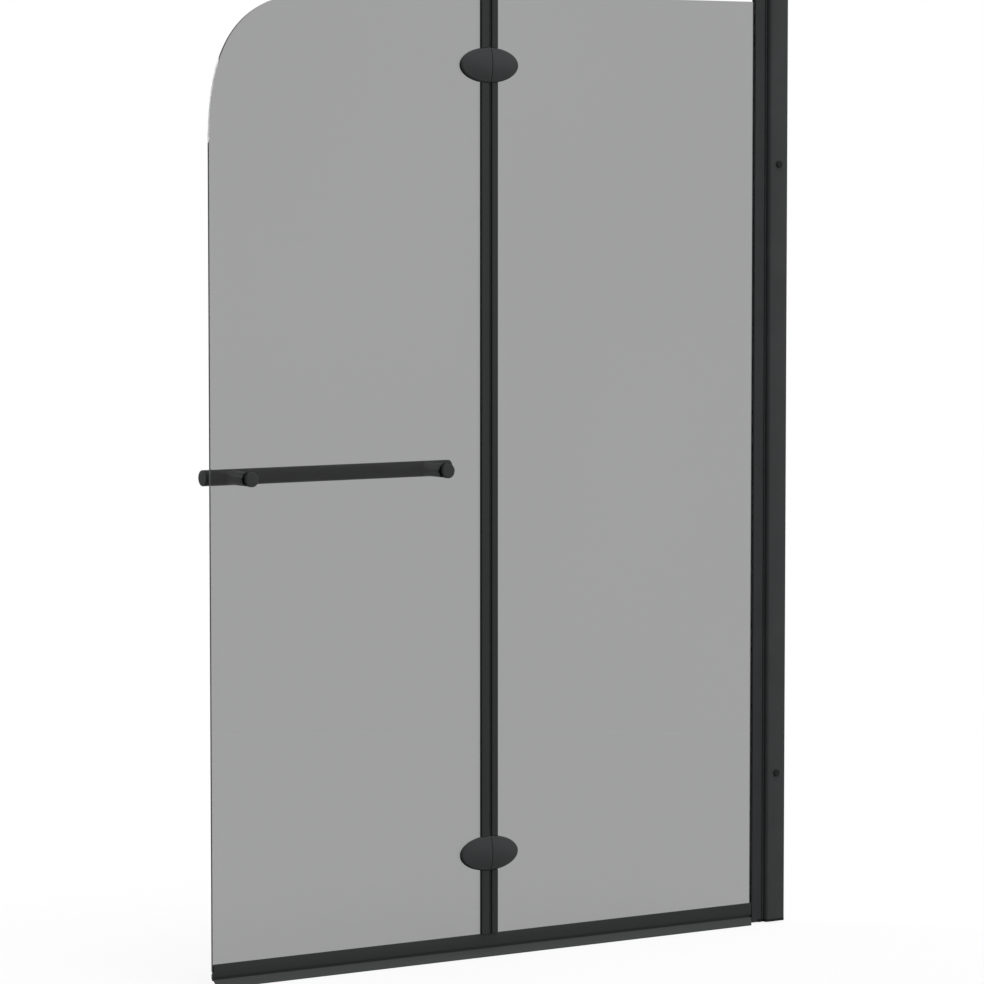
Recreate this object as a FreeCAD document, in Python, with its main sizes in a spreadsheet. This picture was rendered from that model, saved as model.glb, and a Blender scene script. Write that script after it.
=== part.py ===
import FreeCAD, Part
import math
import os
import Sketcher
from FreeCAD import Placement, Rotation, Vector

# Two-panel folding bath screen, in millimetres, +Z up.
# The wall is the plane x = 0, the panes stand in the plane y = 0, and z = 0 is the foot of the wall channel.
# The knobs and drip lips are on the -Y side, the towel bar is on the +Y side.

DOC = FreeCAD.newDocument("bath_screen")

SIZES = {
    # Overall and panes
    "overall_width": 1000.0,
    "outer_panel_width": 464.5,
    "glass_thickness": 5.0,
    "glass_bottom": 16.5,
    "glass_top_gap": 6.0,
    "corner_reach": 218.0,
    "corner_handle_share": 0.735,
    # Wall channel and cover profile
    "profile_length": 1392.0,
    "channel_depth": 22.0,
    "channel_wall": 1.8,
    "wall_hole_radius": 2.75,
    "wall_hole_inset": 96.0,
    "cover_depth": 35.0,
    "cover_width": 20.0,
    "cover_wall": 1.6,
    "cover_corner": 5.0,
    "cover_wall_gap": 0.5,
    "slide_clearance": 0.3,
    "port_inset": 5.0,
    "port_bite": 0.6,
    # Lock screws and their caps
    "lock_from_wall": 16.0,
    "lock_low": 223.0,
    "lock_from_top": 248.0,
    "lock_screw_radius": 1.75,
    "lock_screw_length": 7.0,
    "lock_head_radius": 3.4,
    "lock_head_height": 1.2,
    "lock_cap_radius": 5.25,
    "lock_cap_height": 2.0,
    "lock_cap_rounding": 0.5,
    "head_play": 0.2,
    "screw_play": 0.3,
    "thread_gap": 0.03,
    # Pivot end plates, pins and bushes
    "plate_thickness": 4.0,
    "neck_half_width": 3.0,
    "plate_screw_radius": 1.5,
    "plate_screw_length": 16.0,
    "plate_head_radius": 2.8,
    "plate_head_height": 1.8,
    "pivot_pin_radius": 2.0,
    "pivot_pin_reach": 12.0,
    "bush_wall": 0.95,
    "bush_length": 11.0,
    "bush_flange": 0.8,
    "bush_flange_radius": 4.2,
    "running_gap": 0.05,
    "thrust_gap": 0.3,
    # Pivot profile, glazing gasket and groove seal
    "pivot_gap": 1.7,
    "pivot_half_depth": 4.5,
    "pivot_reach": 15.8,
    "pivot_end_gap": 0.5,
    "rib_gap": 0.8,
    "slot_depth": 10.0,
    "gasket_wall": 0.7,
    "gasket_base": 1.5,
    "gasket_lip": 0.5,
    "pivot_seal_half_width": 3.0,
    "pivot_seal_gap": 0.3,
    # Bottom rails and drip lips
    "rail_wall": 1.1,
    "rail_top": 27.0,
    "rail_rounding": 0.6,
    "rail_foot": 5.0,
    "groove_top": 8.7,
    "groove_depth": 2.2,
    "back_leg_drop": 1.5,
    "waist_notch": 2.0,
    "waist_low": 13.6,
    "waist_high": 14.8,
    "rail_chamfer": 0.9,
    "rail_inset": 1.0,
    "rail_fold_gap": 0.25,
    "rail_end_gap": 0.1,
    "lip_root": 1.6,
    "lip_tip": 1.0,
    "lip_reach": 14.5,
    "lip_bottom": -5.5,
    "lip_mitre": 8.0,
    # Strips and seals along the fold
    "strip_proud": 5.0,
    "strip_rounding": 0.9,
    "strip_web": 1.4,
    "strip_back": 1.5,
    "strip_back_reach": 6.0,
    "strip_clearance": 0.3,
    "strip_end_gap": 0.2,
    "strip_cover_gap": 0.05,
    "outer_strip_near": 3.4,
    "outer_strip_far": 15.9,
    "inner_strip_near": 1.9,
    "inner_strip_far": 12.5,
    "fold_seal_front": 5.2,
    "fold_seal_back": 2.0,
    # Fold hinges
    "hinge_low": 144.8,
    "hinge_from_top": 101.2,
    "hinge_half_length": 50.0,
    "hinge_half_height": 25.4,
    "oval_thickness": 9.0,
    "oval_offset": 1.8,
    "oval_rounding": 5.5,
    "split_gap": 0.5,
    "pad_thickness": 0.8,
    "pad_inset": 0.6,
    "leaf_thickness": 4.0,
    "leaf_near": 6.5,
    "leaf_far": 39.0,
    "leaf_half_height": 19.0,
    "axis_behind_leaf": 2.2,
    "knuckle_radius": 5.5,
    "knuckle_length": 12.0,
    "knuckle_gap": 0.4,
    "fold_pin_radius": 2.5,
    "hinge_screw_from_fold": 18.0,
    "hinge_screw_rise": 11.0,
    "hinge_screw_radius": 2.5,
    "hinge_screw_bite": 3.2,
    "hinge_head_radius": 4.0,
    "hinge_head_height": 2.4,
    "hinge_hole_radius": 4.0,
    # Towel bar, posts, knobs and studs
    "post_from_edge": 63.6,
    "post_from_fold": 73.7,
    "bar_overhang": 42.4,
    "bar_height": 704.0,
    "bar_behind": 58.0,
    "bar_radius": 11.4,
    "bar_wall": 1.6,
    "bar_end_thickness": 2.5,
    "bar_plug_length": 8.0,
    "post_radius": 10.0,
    "knob_radius": 10.5,
    "knob_thickness": 5.4,
    "knob_rounding": 1.0,
    "bar_pad_thickness": 0.8,
    "bar_pad_radius": 9.5,
    "bar_hole_radius": 5.0,
    "collar_play": 0.1,
    "stud_radius": 3.0,
    "stud_in_knob": 3.5,
    "stud_in_bar": 4.0,
    # Overrun of every cutting tool past the face it leaves
    "overrun": 2.0,
}

# Places worked out from the sizes
PLACES = {
    "fold_x": "dim.outer_panel_width - dim.overall_width",
    "half_glass": "dim.glass_thickness / 2",
    "cover_half": "dim.cover_width / 2",
    "channel_half": "cover_half - dim.cover_wall - dim.slide_clearance",
    "port_x": "dim.port_inset - dim.cover_depth",
    "port_y": "cover_half - dim.port_inset",
    "port_radius": "dim.port_inset - dim.cover_wall + dim.port_bite",
    "glass_top": "dim.profile_length - dim.glass_top_gap",
    "hinge_high": "glass_top - dim.hinge_from_top",
    "lock_high": "dim.profile_length - dim.lock_from_top",
    "wall_hole_step": "(dim.profile_length - 2 * dim.wall_hole_inset) / 3",
    "pivot_x": "-dim.cover_depth - dim.pivot_gap - dim.pivot_half_depth",
    "pivot_face_x": "pivot_x - dim.pivot_reach",
    "inner_rail_end_x": "pivot_face_x - dim.gasket_lip - dim.rail_end_gap",
    "slot_end_x": "pivot_face_x + dim.slot_depth",
    "slot_half": "half_glass + dim.gasket_wall",
    "bush_radius": "dim.pivot_pin_radius + dim.running_gap + dim.bush_wall",
    "shoulder": "dim.thrust_gap + dim.bush_flange",
    "rail_front": "-half_glass - dim.rail_wall",
    "rail_back": "half_glass + dim.rail_wall",
    "strip_front": "-half_glass - dim.strip_proud",
    "pad_back": "half_glass + dim.pad_thickness",
    "leaf_back": "pad_back + dim.leaf_thickness",
    "hinge_y": "leaf_back + dim.axis_behind_leaf",
    "oval_front": "-pad_back - dim.oval_thickness",
    "oval_x": "fold_x - dim.oval_offset",
    "outer_post_x": "dim.post_from_edge - dim.overall_width",
    "inner_post_x": "fold_x - dim.post_from_fold",
    "bar_pad_face": "half_glass + dim.bar_pad_thickness",
    "bar_low_x": "outer_post_x - dim.bar_overhang",
    "bar_high_x": "inner_post_x + dim.bar_overhang",
}


def fill_sheet(name, rows):
    """A sheet with one named cell a row."""
    sheet = DOC.addObject("Spreadsheet::Sheet", name)
    for number, (alias, text) in enumerate(rows, 1):
        sheet.set(f"A{number}", alias)
        sheet.set(f"B{number}", text)
        sheet.setAlias(f"B{number}", alias)
    DOC.recompute()
    return sheet


DIM = fill_sheet("dim", [(alias, str(value)) for alias, value in SIZES.items()])
AT = fill_sheet("at", [(alias, f"={formula}") for alias, formula in PLACES.items()])

TURNS = {
    "x": Rotation(Vector(0, 1, 0), 90),
    "y": Rotation(Vector(1, 0, 0), -90),
    "z": Rotation(),
}
NODES = []


def keep(thing):
    """Mark a finished sub-part for export under its own name."""
    thing.Label = thing.Name
    NODES.append(thing)
    return thing


def bind(thing, formulas):
    """Tie properties to the sheets."""
    for name, formula in formulas.items():
        thing.setExpression(name, formula)
    return thing


def block(name, x, y, z):
    """A box between two formulas along each axis."""
    box = DOC.addObject("Part::Box", name)
    formulas = {
        "Length": f"({x[1]}) - ({x[0]})",
        "Width": f"({y[1]}) - ({y[0]})",
        "Height": f"({z[1]}) - ({z[0]})",
    }
    for axis, ends in zip("xyz", (x, y, z)):
        formulas[f"Placement.Base.{axis}"] = ends[0]
    return bind(box, formulas)


def rod(name, along, radius, ends, centre):
    """A cylinder along one axis; centre gives the other two coordinates in order."""
    cylinder = DOC.addObject("Part::Cylinder", name)
    cylinder.Placement = Placement(Vector(), TURNS[along])
    formulas = {"Radius": radius, "Height": f"({ends[1]}) - ({ends[0]})"}
    formulas[f"Placement.Base.{along}"] = ends[0]
    for axis, formula in zip([axis for axis in "xyz" if axis != along], centre):
        formulas[f"Placement.Base.{axis}"] = formula
    return bind(cylinder, formulas)


def join(name, shapes):
    fused = DOC.addObject("Part::MultiFuse", name)
    fused.Shapes = shapes
    fused.Refine = True
    return fused


def common(name, shapes):
    shared = DOC.addObject("Part::MultiCommon", name)
    shared.Shapes = shapes
    return shared


def cut(name, base, tools):
    result = DOC.addObject("Part::Cut", name)
    result.Base = base
    result.Tool = tools[0] if len(tools) == 1 else join(f"{name}_tools", tools)
    return result


def group(name, shapes):
    """Like fasteners in one node."""
    compound = DOC.addObject("Part::Compound", name)
    compound.Links = shapes
    return compound


def sketch_on(body, role):
    sketch = body.newObject("Sketcher::SketchObject", f"{body.Name}_sketch")
    plane = [feature for feature in body.Origin.OriginFeatures if feature.Role == role][0]
    sketch.AttachmentSupport = [(plane, "")]
    sketch.MapMode = "FlatFace"
    return sketch


def pad_of(body, sketch, length):
    pad = body.newObject("PartDesign::Pad", f"{body.Name}_pad")
    pad.Profile = sketch
    return bind(pad, {"Length": length})


def extrusion(name, role, corners, length, start):
    """A body padded from a closed outline; every corner is tied to the sheets."""
    body = DOC.addObject("PartDesign::Body", name)
    sketch = sketch_on(body, role)
    count = len(corners)
    turns = [2 * math.pi * number / count for number in range(count)]
    spots = [Vector(math.cos(turn), math.sin(turn), 0) for turn in turns]
    lines = [Part.LineSegment(spots[number - 1], spots[number]) for number in range(count)]
    sketch.addGeometry(lines, False)
    ties = [Sketcher.Constraint("Coincident", number - 1, 2, number, 1) for number in range(1, count)]
    ties.append(Sketcher.Constraint("Coincident", count - 1, 2, 0, 1))
    for number, spot in enumerate(spots):
        ties.append(Sketcher.Constraint("DistanceX", -1, 1, number, 2, spot.x))
        ties.append(Sketcher.Constraint("DistanceY", -1, 1, number, 2, spot.y))
    sketch.addConstraint(ties)
    for number, (across, up) in enumerate(corners):
        first = count + 2 * number
        bind(sketch, {f"Constraints[{first}]": across, f"Constraints[{first + 1}]": up})
    pad_of(body, sketch, length)
    bind(body, {f"Placement.Base.{'z' if role == 'XY_Plane' else 'x'}": start})
    return body


def disc(name, radius, thickness, base):
    """A round body that grows toward -Y from its base point."""
    body = DOC.addObject("PartDesign::Body", name)
    sketch = sketch_on(body, "XZ_Plane")
    sketch.addGeometry(Part.Circle(), False)
    sketch.addConstraint(Sketcher.Constraint("Coincident", 0, 3, -1, 1))
    sketch.addConstraint(Sketcher.Constraint("Radius", 0, sketch.Geometry[0].Radius))
    bind(sketch, {"Constraints[1]": radius})
    pad_of(body, sketch, thickness)
    return bind(body, {f"Placement.Base.{axis}": formula for axis, formula in zip("xyz", base)})


def round_edges(body, radius, chosen):
    """Fillet the edges of the body's last feature that the test picks by their middle points."""
    DOC.recompute()
    last = body.Tip
    edges = enumerate(last.Shape.Edges, 1)
    names = [f"Edge{number}" for number, edge in edges if chosen(edge.CenterOfMass)]
    fillet = body.newObject("PartDesign::Fillet", f"{body.Name}_round")
    fillet.Base = (last, names)
    return bind(fillet, {"Radius": radius})


def near(first, second):
    return math.isclose(first, second, abs_tol=DIM.running_gap)


def rounded_bar(name, start, length):
    """The outer shape of the cover profile, with its two room-side corners rounded."""
    corners = [
        ("-dim.cover_wall_gap", "-at.cover_half"),
        ("-dim.cover_depth", "-at.cover_half"),
        ("-dim.cover_depth", "at.cover_half"),
        ("-dim.cover_wall_gap", "at.cover_half"),
    ]
    body = extrusion(name, "XY_Plane", corners, length, start)
    round_edges(
        body,
        "dim.cover_corner",
        lambda spot: near(spot.x, -DIM.cover_depth) and near(abs(spot.y), AT.cover_half),
    )
    return body


# Wall channel with its screw holes
channel_bar = extrusion(
    "wall_channel_bar",
    "XY_Plane",
    [
        ("0", "-at.channel_half"),
        ("0", "at.channel_half"),
        ("-dim.channel_depth", "at.channel_half"),
        ("-dim.channel_depth", "at.channel_half - dim.channel_wall"),
        ("-dim.channel_wall", "at.channel_half - dim.channel_wall"),
        ("-dim.channel_wall", "dim.channel_wall - at.channel_half"),
        ("-dim.channel_depth", "dim.channel_wall - at.channel_half"),
        ("-dim.channel_depth", "-at.channel_half"),
    ],
    "dim.profile_length",
    "0",
)
WALL_HOLES = [f"dim.wall_hole_inset + {number} * at.wall_hole_step" for number in range(4)]
LOCKS = ["dim.lock_low", "at.lock_high"]
channel_tools = [
    rod(
        f"wall_hole_{number}",
        "x",
        "dim.wall_hole_radius",
        ("-dim.channel_wall - dim.overrun", "dim.overrun"),
        ("0", height),
    )
    for number, height in enumerate(WALL_HOLES)
]
channel_tools += [
    rod(
        f"lock_thread_{number}",
        "y",
        "dim.lock_screw_radius + dim.thread_gap",
        ("-at.channel_half - dim.overrun", "dim.overrun + dim.channel_wall - at.channel_half"),
        ("-dim.lock_from_wall", height),
    )
    for number, height in enumerate(LOCKS)
]
keep(cut("wall_channel", channel_bar, channel_tools))

# Cover profile with two screw ports in its room-side corners
cover_bar = rounded_bar("cover_bar", "0", "dim.profile_length")
cover_inside = block(
    "cover_inside",
    ("dim.cover_wall - dim.cover_depth", "dim.overrun"),
    ("dim.cover_wall - at.cover_half", "at.cover_half - dim.cover_wall"),
    ("-dim.overrun", "dim.profile_length + dim.overrun"),
)
cover_shell = cut("cover_shell", cover_bar, [cover_inside])
PORTS = {"front": "-at.port_y", "back": "at.port_y"}
ports = [
    rod(f"port_{side}", "z", "at.port_radius", ("0", "dim.profile_length"), ("at.port_x", across))
    for side, across in PORTS.items()
]
cover_tools = [
    rod(
        f"port_hole_{side}",
        "z",
        "dim.plate_screw_radius + dim.thread_gap",
        ("-dim.overrun", "dim.profile_length + dim.overrun"),
        ("at.port_x", across),
    )
    for side, across in PORTS.items()
]
cover_tools += [
    rod(
        f"lock_hole_{number}",
        "y",
        "dim.lock_screw_radius + dim.screw_play",
        ("-at.cover_half - dim.overrun", "-at.channel_half"),
        ("-dim.lock_from_wall", height),
    )
    for number, height in enumerate(LOCKS)
]
keep(cut("cover_profile", join("cover_ported", [cover_shell] + ports), cover_tools))

# Lock screws and the round caps over their heads
lock_screws = []
lock_caps = []
for number, height in enumerate(LOCKS):
    spot = ("-dim.lock_from_wall", height)
    shank = rod(
        f"lock_shank_{number}",
        "y",
        "dim.lock_screw_radius",
        ("-at.cover_half", "dim.lock_screw_length - at.cover_half"),
        spot,
    )
    head = rod(
        f"lock_head_{number}",
        "y",
        "dim.lock_head_radius",
        ("-at.cover_half - dim.lock_head_height", "-at.cover_half"),
        spot,
    )
    lock_screws.append(join(f"lock_screw_{number}", [shank, head]))
    button = disc(
        f"lock_button_{number}",
        "dim.lock_cap_radius",
        "dim.lock_cap_height",
        ("-dim.lock_from_wall", "-at.cover_half", height),
    )
    round_edges(button, "dim.lock_cap_rounding", lambda spot: near(spot.y, -DIM.lock_cap_height))
    hollow = rod(
        f"lock_hollow_{number}",
        "y",
        "dim.lock_head_radius + dim.thread_gap",
        ("-at.cover_half - dim.lock_head_height - dim.head_play", "dim.overrun - at.cover_half"),
        spot,
    )
    lock_caps.append(cut(f"lock_cap_{number}", button, [hollow]))
keep(group("lock_screws", lock_screws))
keep(group("lock_screw_caps", lock_caps))

# Each end of the profiles has its end face, the sign of the outward way and the foot of its plate
ENDS = {
    "bottom": ("0", "-", "-dim.plate_thickness"),
    "top": ("dim.profile_length", "+", "dim.profile_length"),
}


def span(end, first, second):
    """Two heights counted outward from the profile's end, low one first."""
    face, sign = ENDS[end][:2]
    low, high = f"{face} {sign} ({first})", f"{face} {sign} ({second})"
    return (high, low) if sign == "-" else (low, high)


# End plates, pivot pins, bushes and plate screws
plate_screws = []
for end in ENDS:
    axis = ("at.pivot_x", "0")
    through = span(end, "0", "dim.plate_thickness")
    wide = rounded_bar(f"plate_wide_{end}", ENDS[end][2], "dim.plate_thickness")
    neck = block(
        f"plate_neck_{end}",
        ("at.pivot_x", "at.port_x"),
        ("-dim.neck_half_width", "dim.neck_half_width"),
        through,
    )
    nose = rod(f"plate_nose_{end}", "z", "dim.pivot_half_depth", through, axis)
    beyond = span(end, "-dim.overrun", "dim.plate_thickness + dim.overrun")
    tools = [
        rod(f"plate_pin_hole_{end}", "z", "dim.pivot_pin_radius + dim.thread_gap", beyond, axis)
    ]
    for side, across in PORTS.items():
        port = ("at.port_x", across)
        tools.append(
            rod(
                f"plate_hole_{end}_{side}",
                "z",
                "dim.plate_screw_radius + dim.screw_play",
                beyond,
                port,
            )
        )
        tools.append(
            rod(
                f"plate_sink_{end}_{side}",
                "z",
                "dim.plate_head_radius + dim.head_play",
                span(end, "dim.plate_thickness - dim.plate_head_height", "dim.plate_thickness + dim.overrun"),
                port,
            )
        )
        shank = rod(
            f"plate_shank_{end}_{side}",
            "z",
            "dim.plate_screw_radius",
            span(end, "-dim.plate_screw_length", "dim.plate_thickness - dim.plate_head_height"),
            port,
        )
        head = rod(
            f"plate_head_{end}_{side}",
            "z",
            "dim.plate_head_radius",
            span(end, "dim.plate_thickness - dim.plate_head_height", "dim.plate_thickness"),
            port,
        )
        plate_screws.append(join(f"plate_screw_{end}_{side}", [shank, head]))
    keep(cut(f"pivot_plate_{end}", join(f"plate_whole_{end}", [wide, neck, nose]), tools))
    pin_ends = span(end, "-dim.pivot_pin_reach", "dim.plate_thickness")
    keep(rod(f"pivot_pin_{end}", "z", "dim.pivot_pin_radius", pin_ends, axis))
    flange = rod(
        f"bush_flange_{end}",
        "z",
        "dim.bush_flange_radius",
        span(end, "-at.shoulder", "-dim.thrust_gap"),
        axis,
    )
    sleeve = rod(
        f"bush_sleeve_{end}",
        "z",
        "at.bush_radius",
        span(end, "-at.shoulder - dim.bush_length", "-at.shoulder"),
        axis,
    )
    bore = rod(
        f"bush_bore_{end}",
        "z",
        "dim.pivot_pin_radius + dim.running_gap",
        span(end, "-at.shoulder - dim.bush_length - dim.overrun", "dim.overrun"),
        axis,
    )
    keep(cut(f"pivot_bush_{end}", join(f"bush_whole_{end}", [flange, sleeve]), [bore]))
keep(group("plate_screws", plate_screws))

# Soft seal in the groove beside the pivot profile
keep(
    block(
        "pivot_seal",
        ("at.pivot_x + dim.pivot_half_depth + dim.pivot_seal_gap", "-dim.cover_depth"),
        ("-dim.pivot_seal_half_width", "dim.pivot_seal_half_width"),
        ("0", "dim.profile_length"),
    )
)

# Pivot profile: half-round on the wall side, slotted for the pane, stepped at both ends for the plates
PIVOT_Z = (
    "dim.pivot_end_gap - dim.plate_thickness",
    "dim.profile_length + dim.plate_thickness - dim.pivot_end_gap",
)
pivot_flat = block(
    "pivot_flat",
    ("at.pivot_face_x", "at.pivot_x"),
    ("-dim.pivot_half_depth", "dim.pivot_half_depth"),
    PIVOT_Z,
)
pivot_round = rod("pivot_round", "z", "dim.pivot_half_depth", PIVOT_Z, ("at.pivot_x", "0"))
pivot_tools = [
    block(
        "pivot_slot",
        ("at.pivot_face_x - dim.overrun", "at.slot_end_x"),
        ("-at.slot_half", "at.slot_half"),
        (f"{PIVOT_Z[0]} - dim.overrun", f"{PIVOT_Z[1]} + dim.overrun"),
    )
]
for end in ENDS:
    pivot_tools.append(
        block(
            f"pivot_step_{end}",
            (
                "at.pivot_x - dim.pivot_half_depth - dim.rib_gap",
                "at.pivot_x + dim.pivot_half_depth + dim.overrun",
            ),
            ("-dim.pivot_half_depth - dim.overrun", "dim.pivot_half_depth + dim.overrun"),
            span(end, "-at.shoulder", "dim.plate_thickness + dim.overrun"),
        )
    )
    pivot_tools.append(
        rod(
            f"pivot_pocket_{end}",
            "z",
            "at.bush_radius + dim.thread_gap",
            span(end, "-at.shoulder - dim.bush_length - dim.overrun", "dim.overrun"),
            ("at.pivot_x", "0"),
        )
    )
keep(cut("pivot_profile", join("pivot_bar", [pivot_flat, pivot_round]), pivot_tools))

# Glazing gasket around the pane's edge in the slot
PANE_Z = ("dim.glass_bottom", "at.glass_top")
gasket_bar = block(
    "gasket_bar",
    ("at.pivot_face_x - dim.gasket_lip", "at.slot_end_x"),
    ("-at.slot_half", "at.slot_half"),
    PANE_Z,
)
gasket_slot = block(
    "gasket_slot",
    ("at.pivot_face_x - dim.gasket_lip - dim.overrun", "at.slot_end_x - dim.gasket_base"),
    ("-at.half_glass", "at.half_glass"),
    ("dim.glass_bottom - dim.overrun", "at.glass_top + dim.overrun"),
)
keep(cut("glazing_gasket", gasket_bar, [gasket_slot]))

# The outer side of the fold lies toward -X, the inner side toward +X
SIDES = {"outer": "-", "inner": "+"}
HINGES = {"lower": "dim.hinge_low", "upper": "at.hinge_high"}


def from_fold(side, first, second):
    """Two x places counted away from the fold line, low one first."""
    sign = SIDES[side]
    low, high = f"at.fold_x {sign} ({first})", f"at.fold_x {sign} ({second})"
    return (high, low) if sign == "-" else (low, high)


def hinge_screw_spots(side):
    """Name, x and z of the clamping screws in one panel."""
    across = f"at.fold_x {SIDES[side]} dim.hinge_screw_from_fold"
    return [
        (f"{level}_{row}", across, f"{HINGES[level]} {sign} dim.hinge_screw_rise")
        for level in HINGES
        for row, sign in (("low", "-"), ("high", "+"))
    ]


def pane_holes(side):
    """Tools for the hinge screw holes in one pane."""
    ends = ("-at.half_glass - dim.overrun", "at.half_glass + dim.overrun")
    return [
        rod(f"{side}_pane_hole_{name}", "y", "dim.hinge_hole_radius", ends, (across, height))
        for name, across, height in hinge_screw_spots(side)
    ]


# Panes
INNER_EDGE = "at.fold_x + dim.inner_strip_near + dim.strip_web"
OUTER_EDGE = "at.fold_x - dim.outer_strip_near - dim.strip_web"
inner_plate = block(
    "inner_plate",
    (INNER_EDGE, "at.slot_end_x - dim.gasket_base"),
    ("-at.half_glass", "at.half_glass"),
    PANE_Z,
)
keep(cut("inner_glass", inner_plate, pane_holes("inner")))

left = -DIM.overall_width
right = AT.fold_x - DIM.outer_strip_near - DIM.strip_web
low, high = DIM.glass_bottom, AT.glass_top
reach = DIM.corner_reach
stop = reach * (1 - DIM.corner_handle_share)
corner = Part.BezierCurve()
corner.setPoles(
    [
        Vector(left, 0, high - reach),
        Vector(left, 0, high - stop),
        Vector(left + stop, 0, high),
        Vector(left + reach, 0, high),
    ]
)
pane_edges = [
    Part.LineSegment(Vector(left, 0, low), Vector(left, 0, high - reach)).toShape(),
    corner.toShape(),
    Part.LineSegment(Vector(left + reach, 0, high), Vector(right, 0, high)).toShape(),
    Part.LineSegment(Vector(right, 0, high), Vector(right, 0, low)).toShape(),
    Part.LineSegment(Vector(right, 0, low), Vector(left, 0, low)).toShape(),
]
outer_plate = DOC.addObject("Part::Feature", "outer_plate")
outer_plate.Shape = Part.Face(Part.Wire(pane_edges)).extrude(Vector(0, DIM.glass_thickness, 0))
outer_plate.Placement = Placement(Vector(0, -AT.half_glass, 0), Rotation())
POSTS = {"outer": "at.outer_post_x", "inner": "at.inner_post_x"}
bar_holes = [
    rod(
        f"bar_hole_{name}",
        "y",
        "dim.bar_hole_radius",
        ("-at.half_glass - dim.overrun", "at.half_glass + dim.overrun"),
        (across, "dim.bar_height"),
    )
    for name, across in POSTS.items()
]
keep(cut("outer_glass", outer_plate, pane_holes("outer") + bar_holes))

# Bottom rails and their drip lips
RAIL_SECTION = [
    ("at.rail_front", "dim.rail_top"),
    ("-at.half_glass", "dim.rail_top"),
    ("-at.half_glass", "dim.glass_bottom"),
    ("at.half_glass", "dim.glass_bottom"),
    ("at.half_glass", "dim.rail_top - dim.back_leg_drop"),
    ("at.rail_back", "dim.rail_top - dim.back_leg_drop"),
    ("at.rail_back", "dim.waist_high + dim.rail_chamfer"),
    ("at.rail_back - dim.waist_notch", "dim.waist_high"),
    ("at.rail_back - dim.waist_notch", "dim.waist_low"),
    ("at.rail_back", "dim.waist_low - dim.rail_chamfer"),
    ("at.rail_back", "dim.rail_foot + dim.rail_chamfer"),
    ("at.rail_back - dim.rail_chamfer", "dim.rail_foot"),
    ("at.rail_front + dim.groove_depth", "dim.rail_foot"),
    ("at.rail_front + dim.groove_depth", "dim.groove_top"),
    ("at.rail_front", "dim.groove_top"),
]
LIP_SECTION = [
    ("at.rail_back - dim.rail_chamfer", "dim.rail_foot"),
    ("at.rail_back - dim.rail_chamfer", "dim.rail_foot - dim.lip_root"),
    ("at.rail_front + dim.lip_root", "dim.rail_foot - dim.lip_root"),
    ("dim.lip_tip - dim.lip_reach", "dim.lip_bottom"),
    ("-dim.lip_reach", "dim.lip_bottom"),
    ("-dim.lip_reach", "dim.lip_bottom + dim.lip_tip"),
    ("at.rail_front", "dim.rail_foot"),
]
RAILS = {
    "outer": ("dim.rail_inset - dim.overall_width", "at.fold_x - dim.rail_fold_gap", "outer_drip_lip"),
    "inner": ("at.fold_x + dim.rail_fold_gap", "at.inner_rail_end_x", "inner_lip_bar"),
}
lips = {}
for side, (start, stop_x, lip_name) in RAILS.items():
    length = f"({stop_x}) - ({start})"
    rail = extrusion(f"{side}_rail", "YZ_Plane", RAIL_SECTION, length, start)
    round_edges(
        rail,
        "dim.rail_rounding",
        lambda spot: near(spot.y, AT.rail_front) and near(spot.z, DIM.rail_top),
    )
    keep(rail)
    lips[side] = extrusion(lip_name, "YZ_Plane", LIP_SECTION, length, start)

# The outer lip is square at both ends, and the inner one is mitred beside the pivot profile
MITRE_RUN = "(dim.lip_reach + dim.overrun + at.rail_front) / (dim.lip_reach + at.rail_front)"
lip_mitre = extrusion(
    "lip_mitre",
    "XY_Plane",
    [
        ("at.inner_rail_end_x", "at.rail_front"),
        (f"at.inner_rail_end_x - dim.lip_mitre * {MITRE_RUN}", "-dim.lip_reach - dim.overrun"),
        ("at.inner_rail_end_x + dim.overrun", "-dim.lip_reach - dim.overrun"),
        ("at.inner_rail_end_x + dim.overrun", "at.rail_front"),
    ],
    "dim.rail_foot - dim.lip_bottom + 2 * dim.overrun",
    "dim.lip_bottom - dim.overrun",
)
keep(lips["outer"])
keep(cut("inner_drip_lip", lips["inner"], [lip_mitre]))


# Oval tools and plates of the fold hinges
def oval(name, middle, half_length, half_height, y, height):
    """An upright elliptic plate between two y formulas, centred at an x formula."""
    rim = DOC.addObject("Part::Ellipse", f"{name}_rim")
    rim.Placement = Placement(Vector(), TURNS["y"])
    bind(
        rim,
        {
            "MajorRadius": half_length,
            "MinorRadius": half_height,
            "Placement.Base.x": middle,
            "Placement.Base.y": y[0],
            "Placement.Base.z": height,
        },
    )
    prism = DOC.addObject("Part::Extrusion", name)
    prism.Base = rim
    prism.DirMode = "Custom"
    prism.Dir = Vector(0, 1, 0)
    prism.Solid = True
    return bind(prism, {"LengthFwd": f"({y[1]}) - ({y[0]})"})


def half_oval(name, side, near_fold, middle, half_length, half_height, y, height):
    """One panel's half of an oval plate, ending a set distance from the fold line."""
    whole = oval(f"{name}_oval", middle, half_length, half_height, y, height)
    window = block(
        f"{name}_window",
        from_fold(side, near_fold, f"{half_length} + dim.oval_offset + dim.overrun"),
        y,
        (f"{height} - ({half_height}) - dim.overrun", f"{height} + ({half_height}) + dim.overrun"),
    )
    return common(f"{name}_half", [whole, window])


def rounded_front(name, plate, front, radius):
    """A half oval plate with the curved edge of its front face rounded."""
    DOC.recompute()
    rounded = DOC.addObject("Part::Fillet", name)
    rounded.Base = plate
    edges = [
        number
        for number, edge in enumerate(plate.Shape.Edges, 1)
        if near(edge.CenterOfMass.y, front) and not isinstance(edge.Curve, Part.Line)
    ]
    rounded.Edges = [(number, radius, radius) for number in edges]
    return rounded


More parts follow.
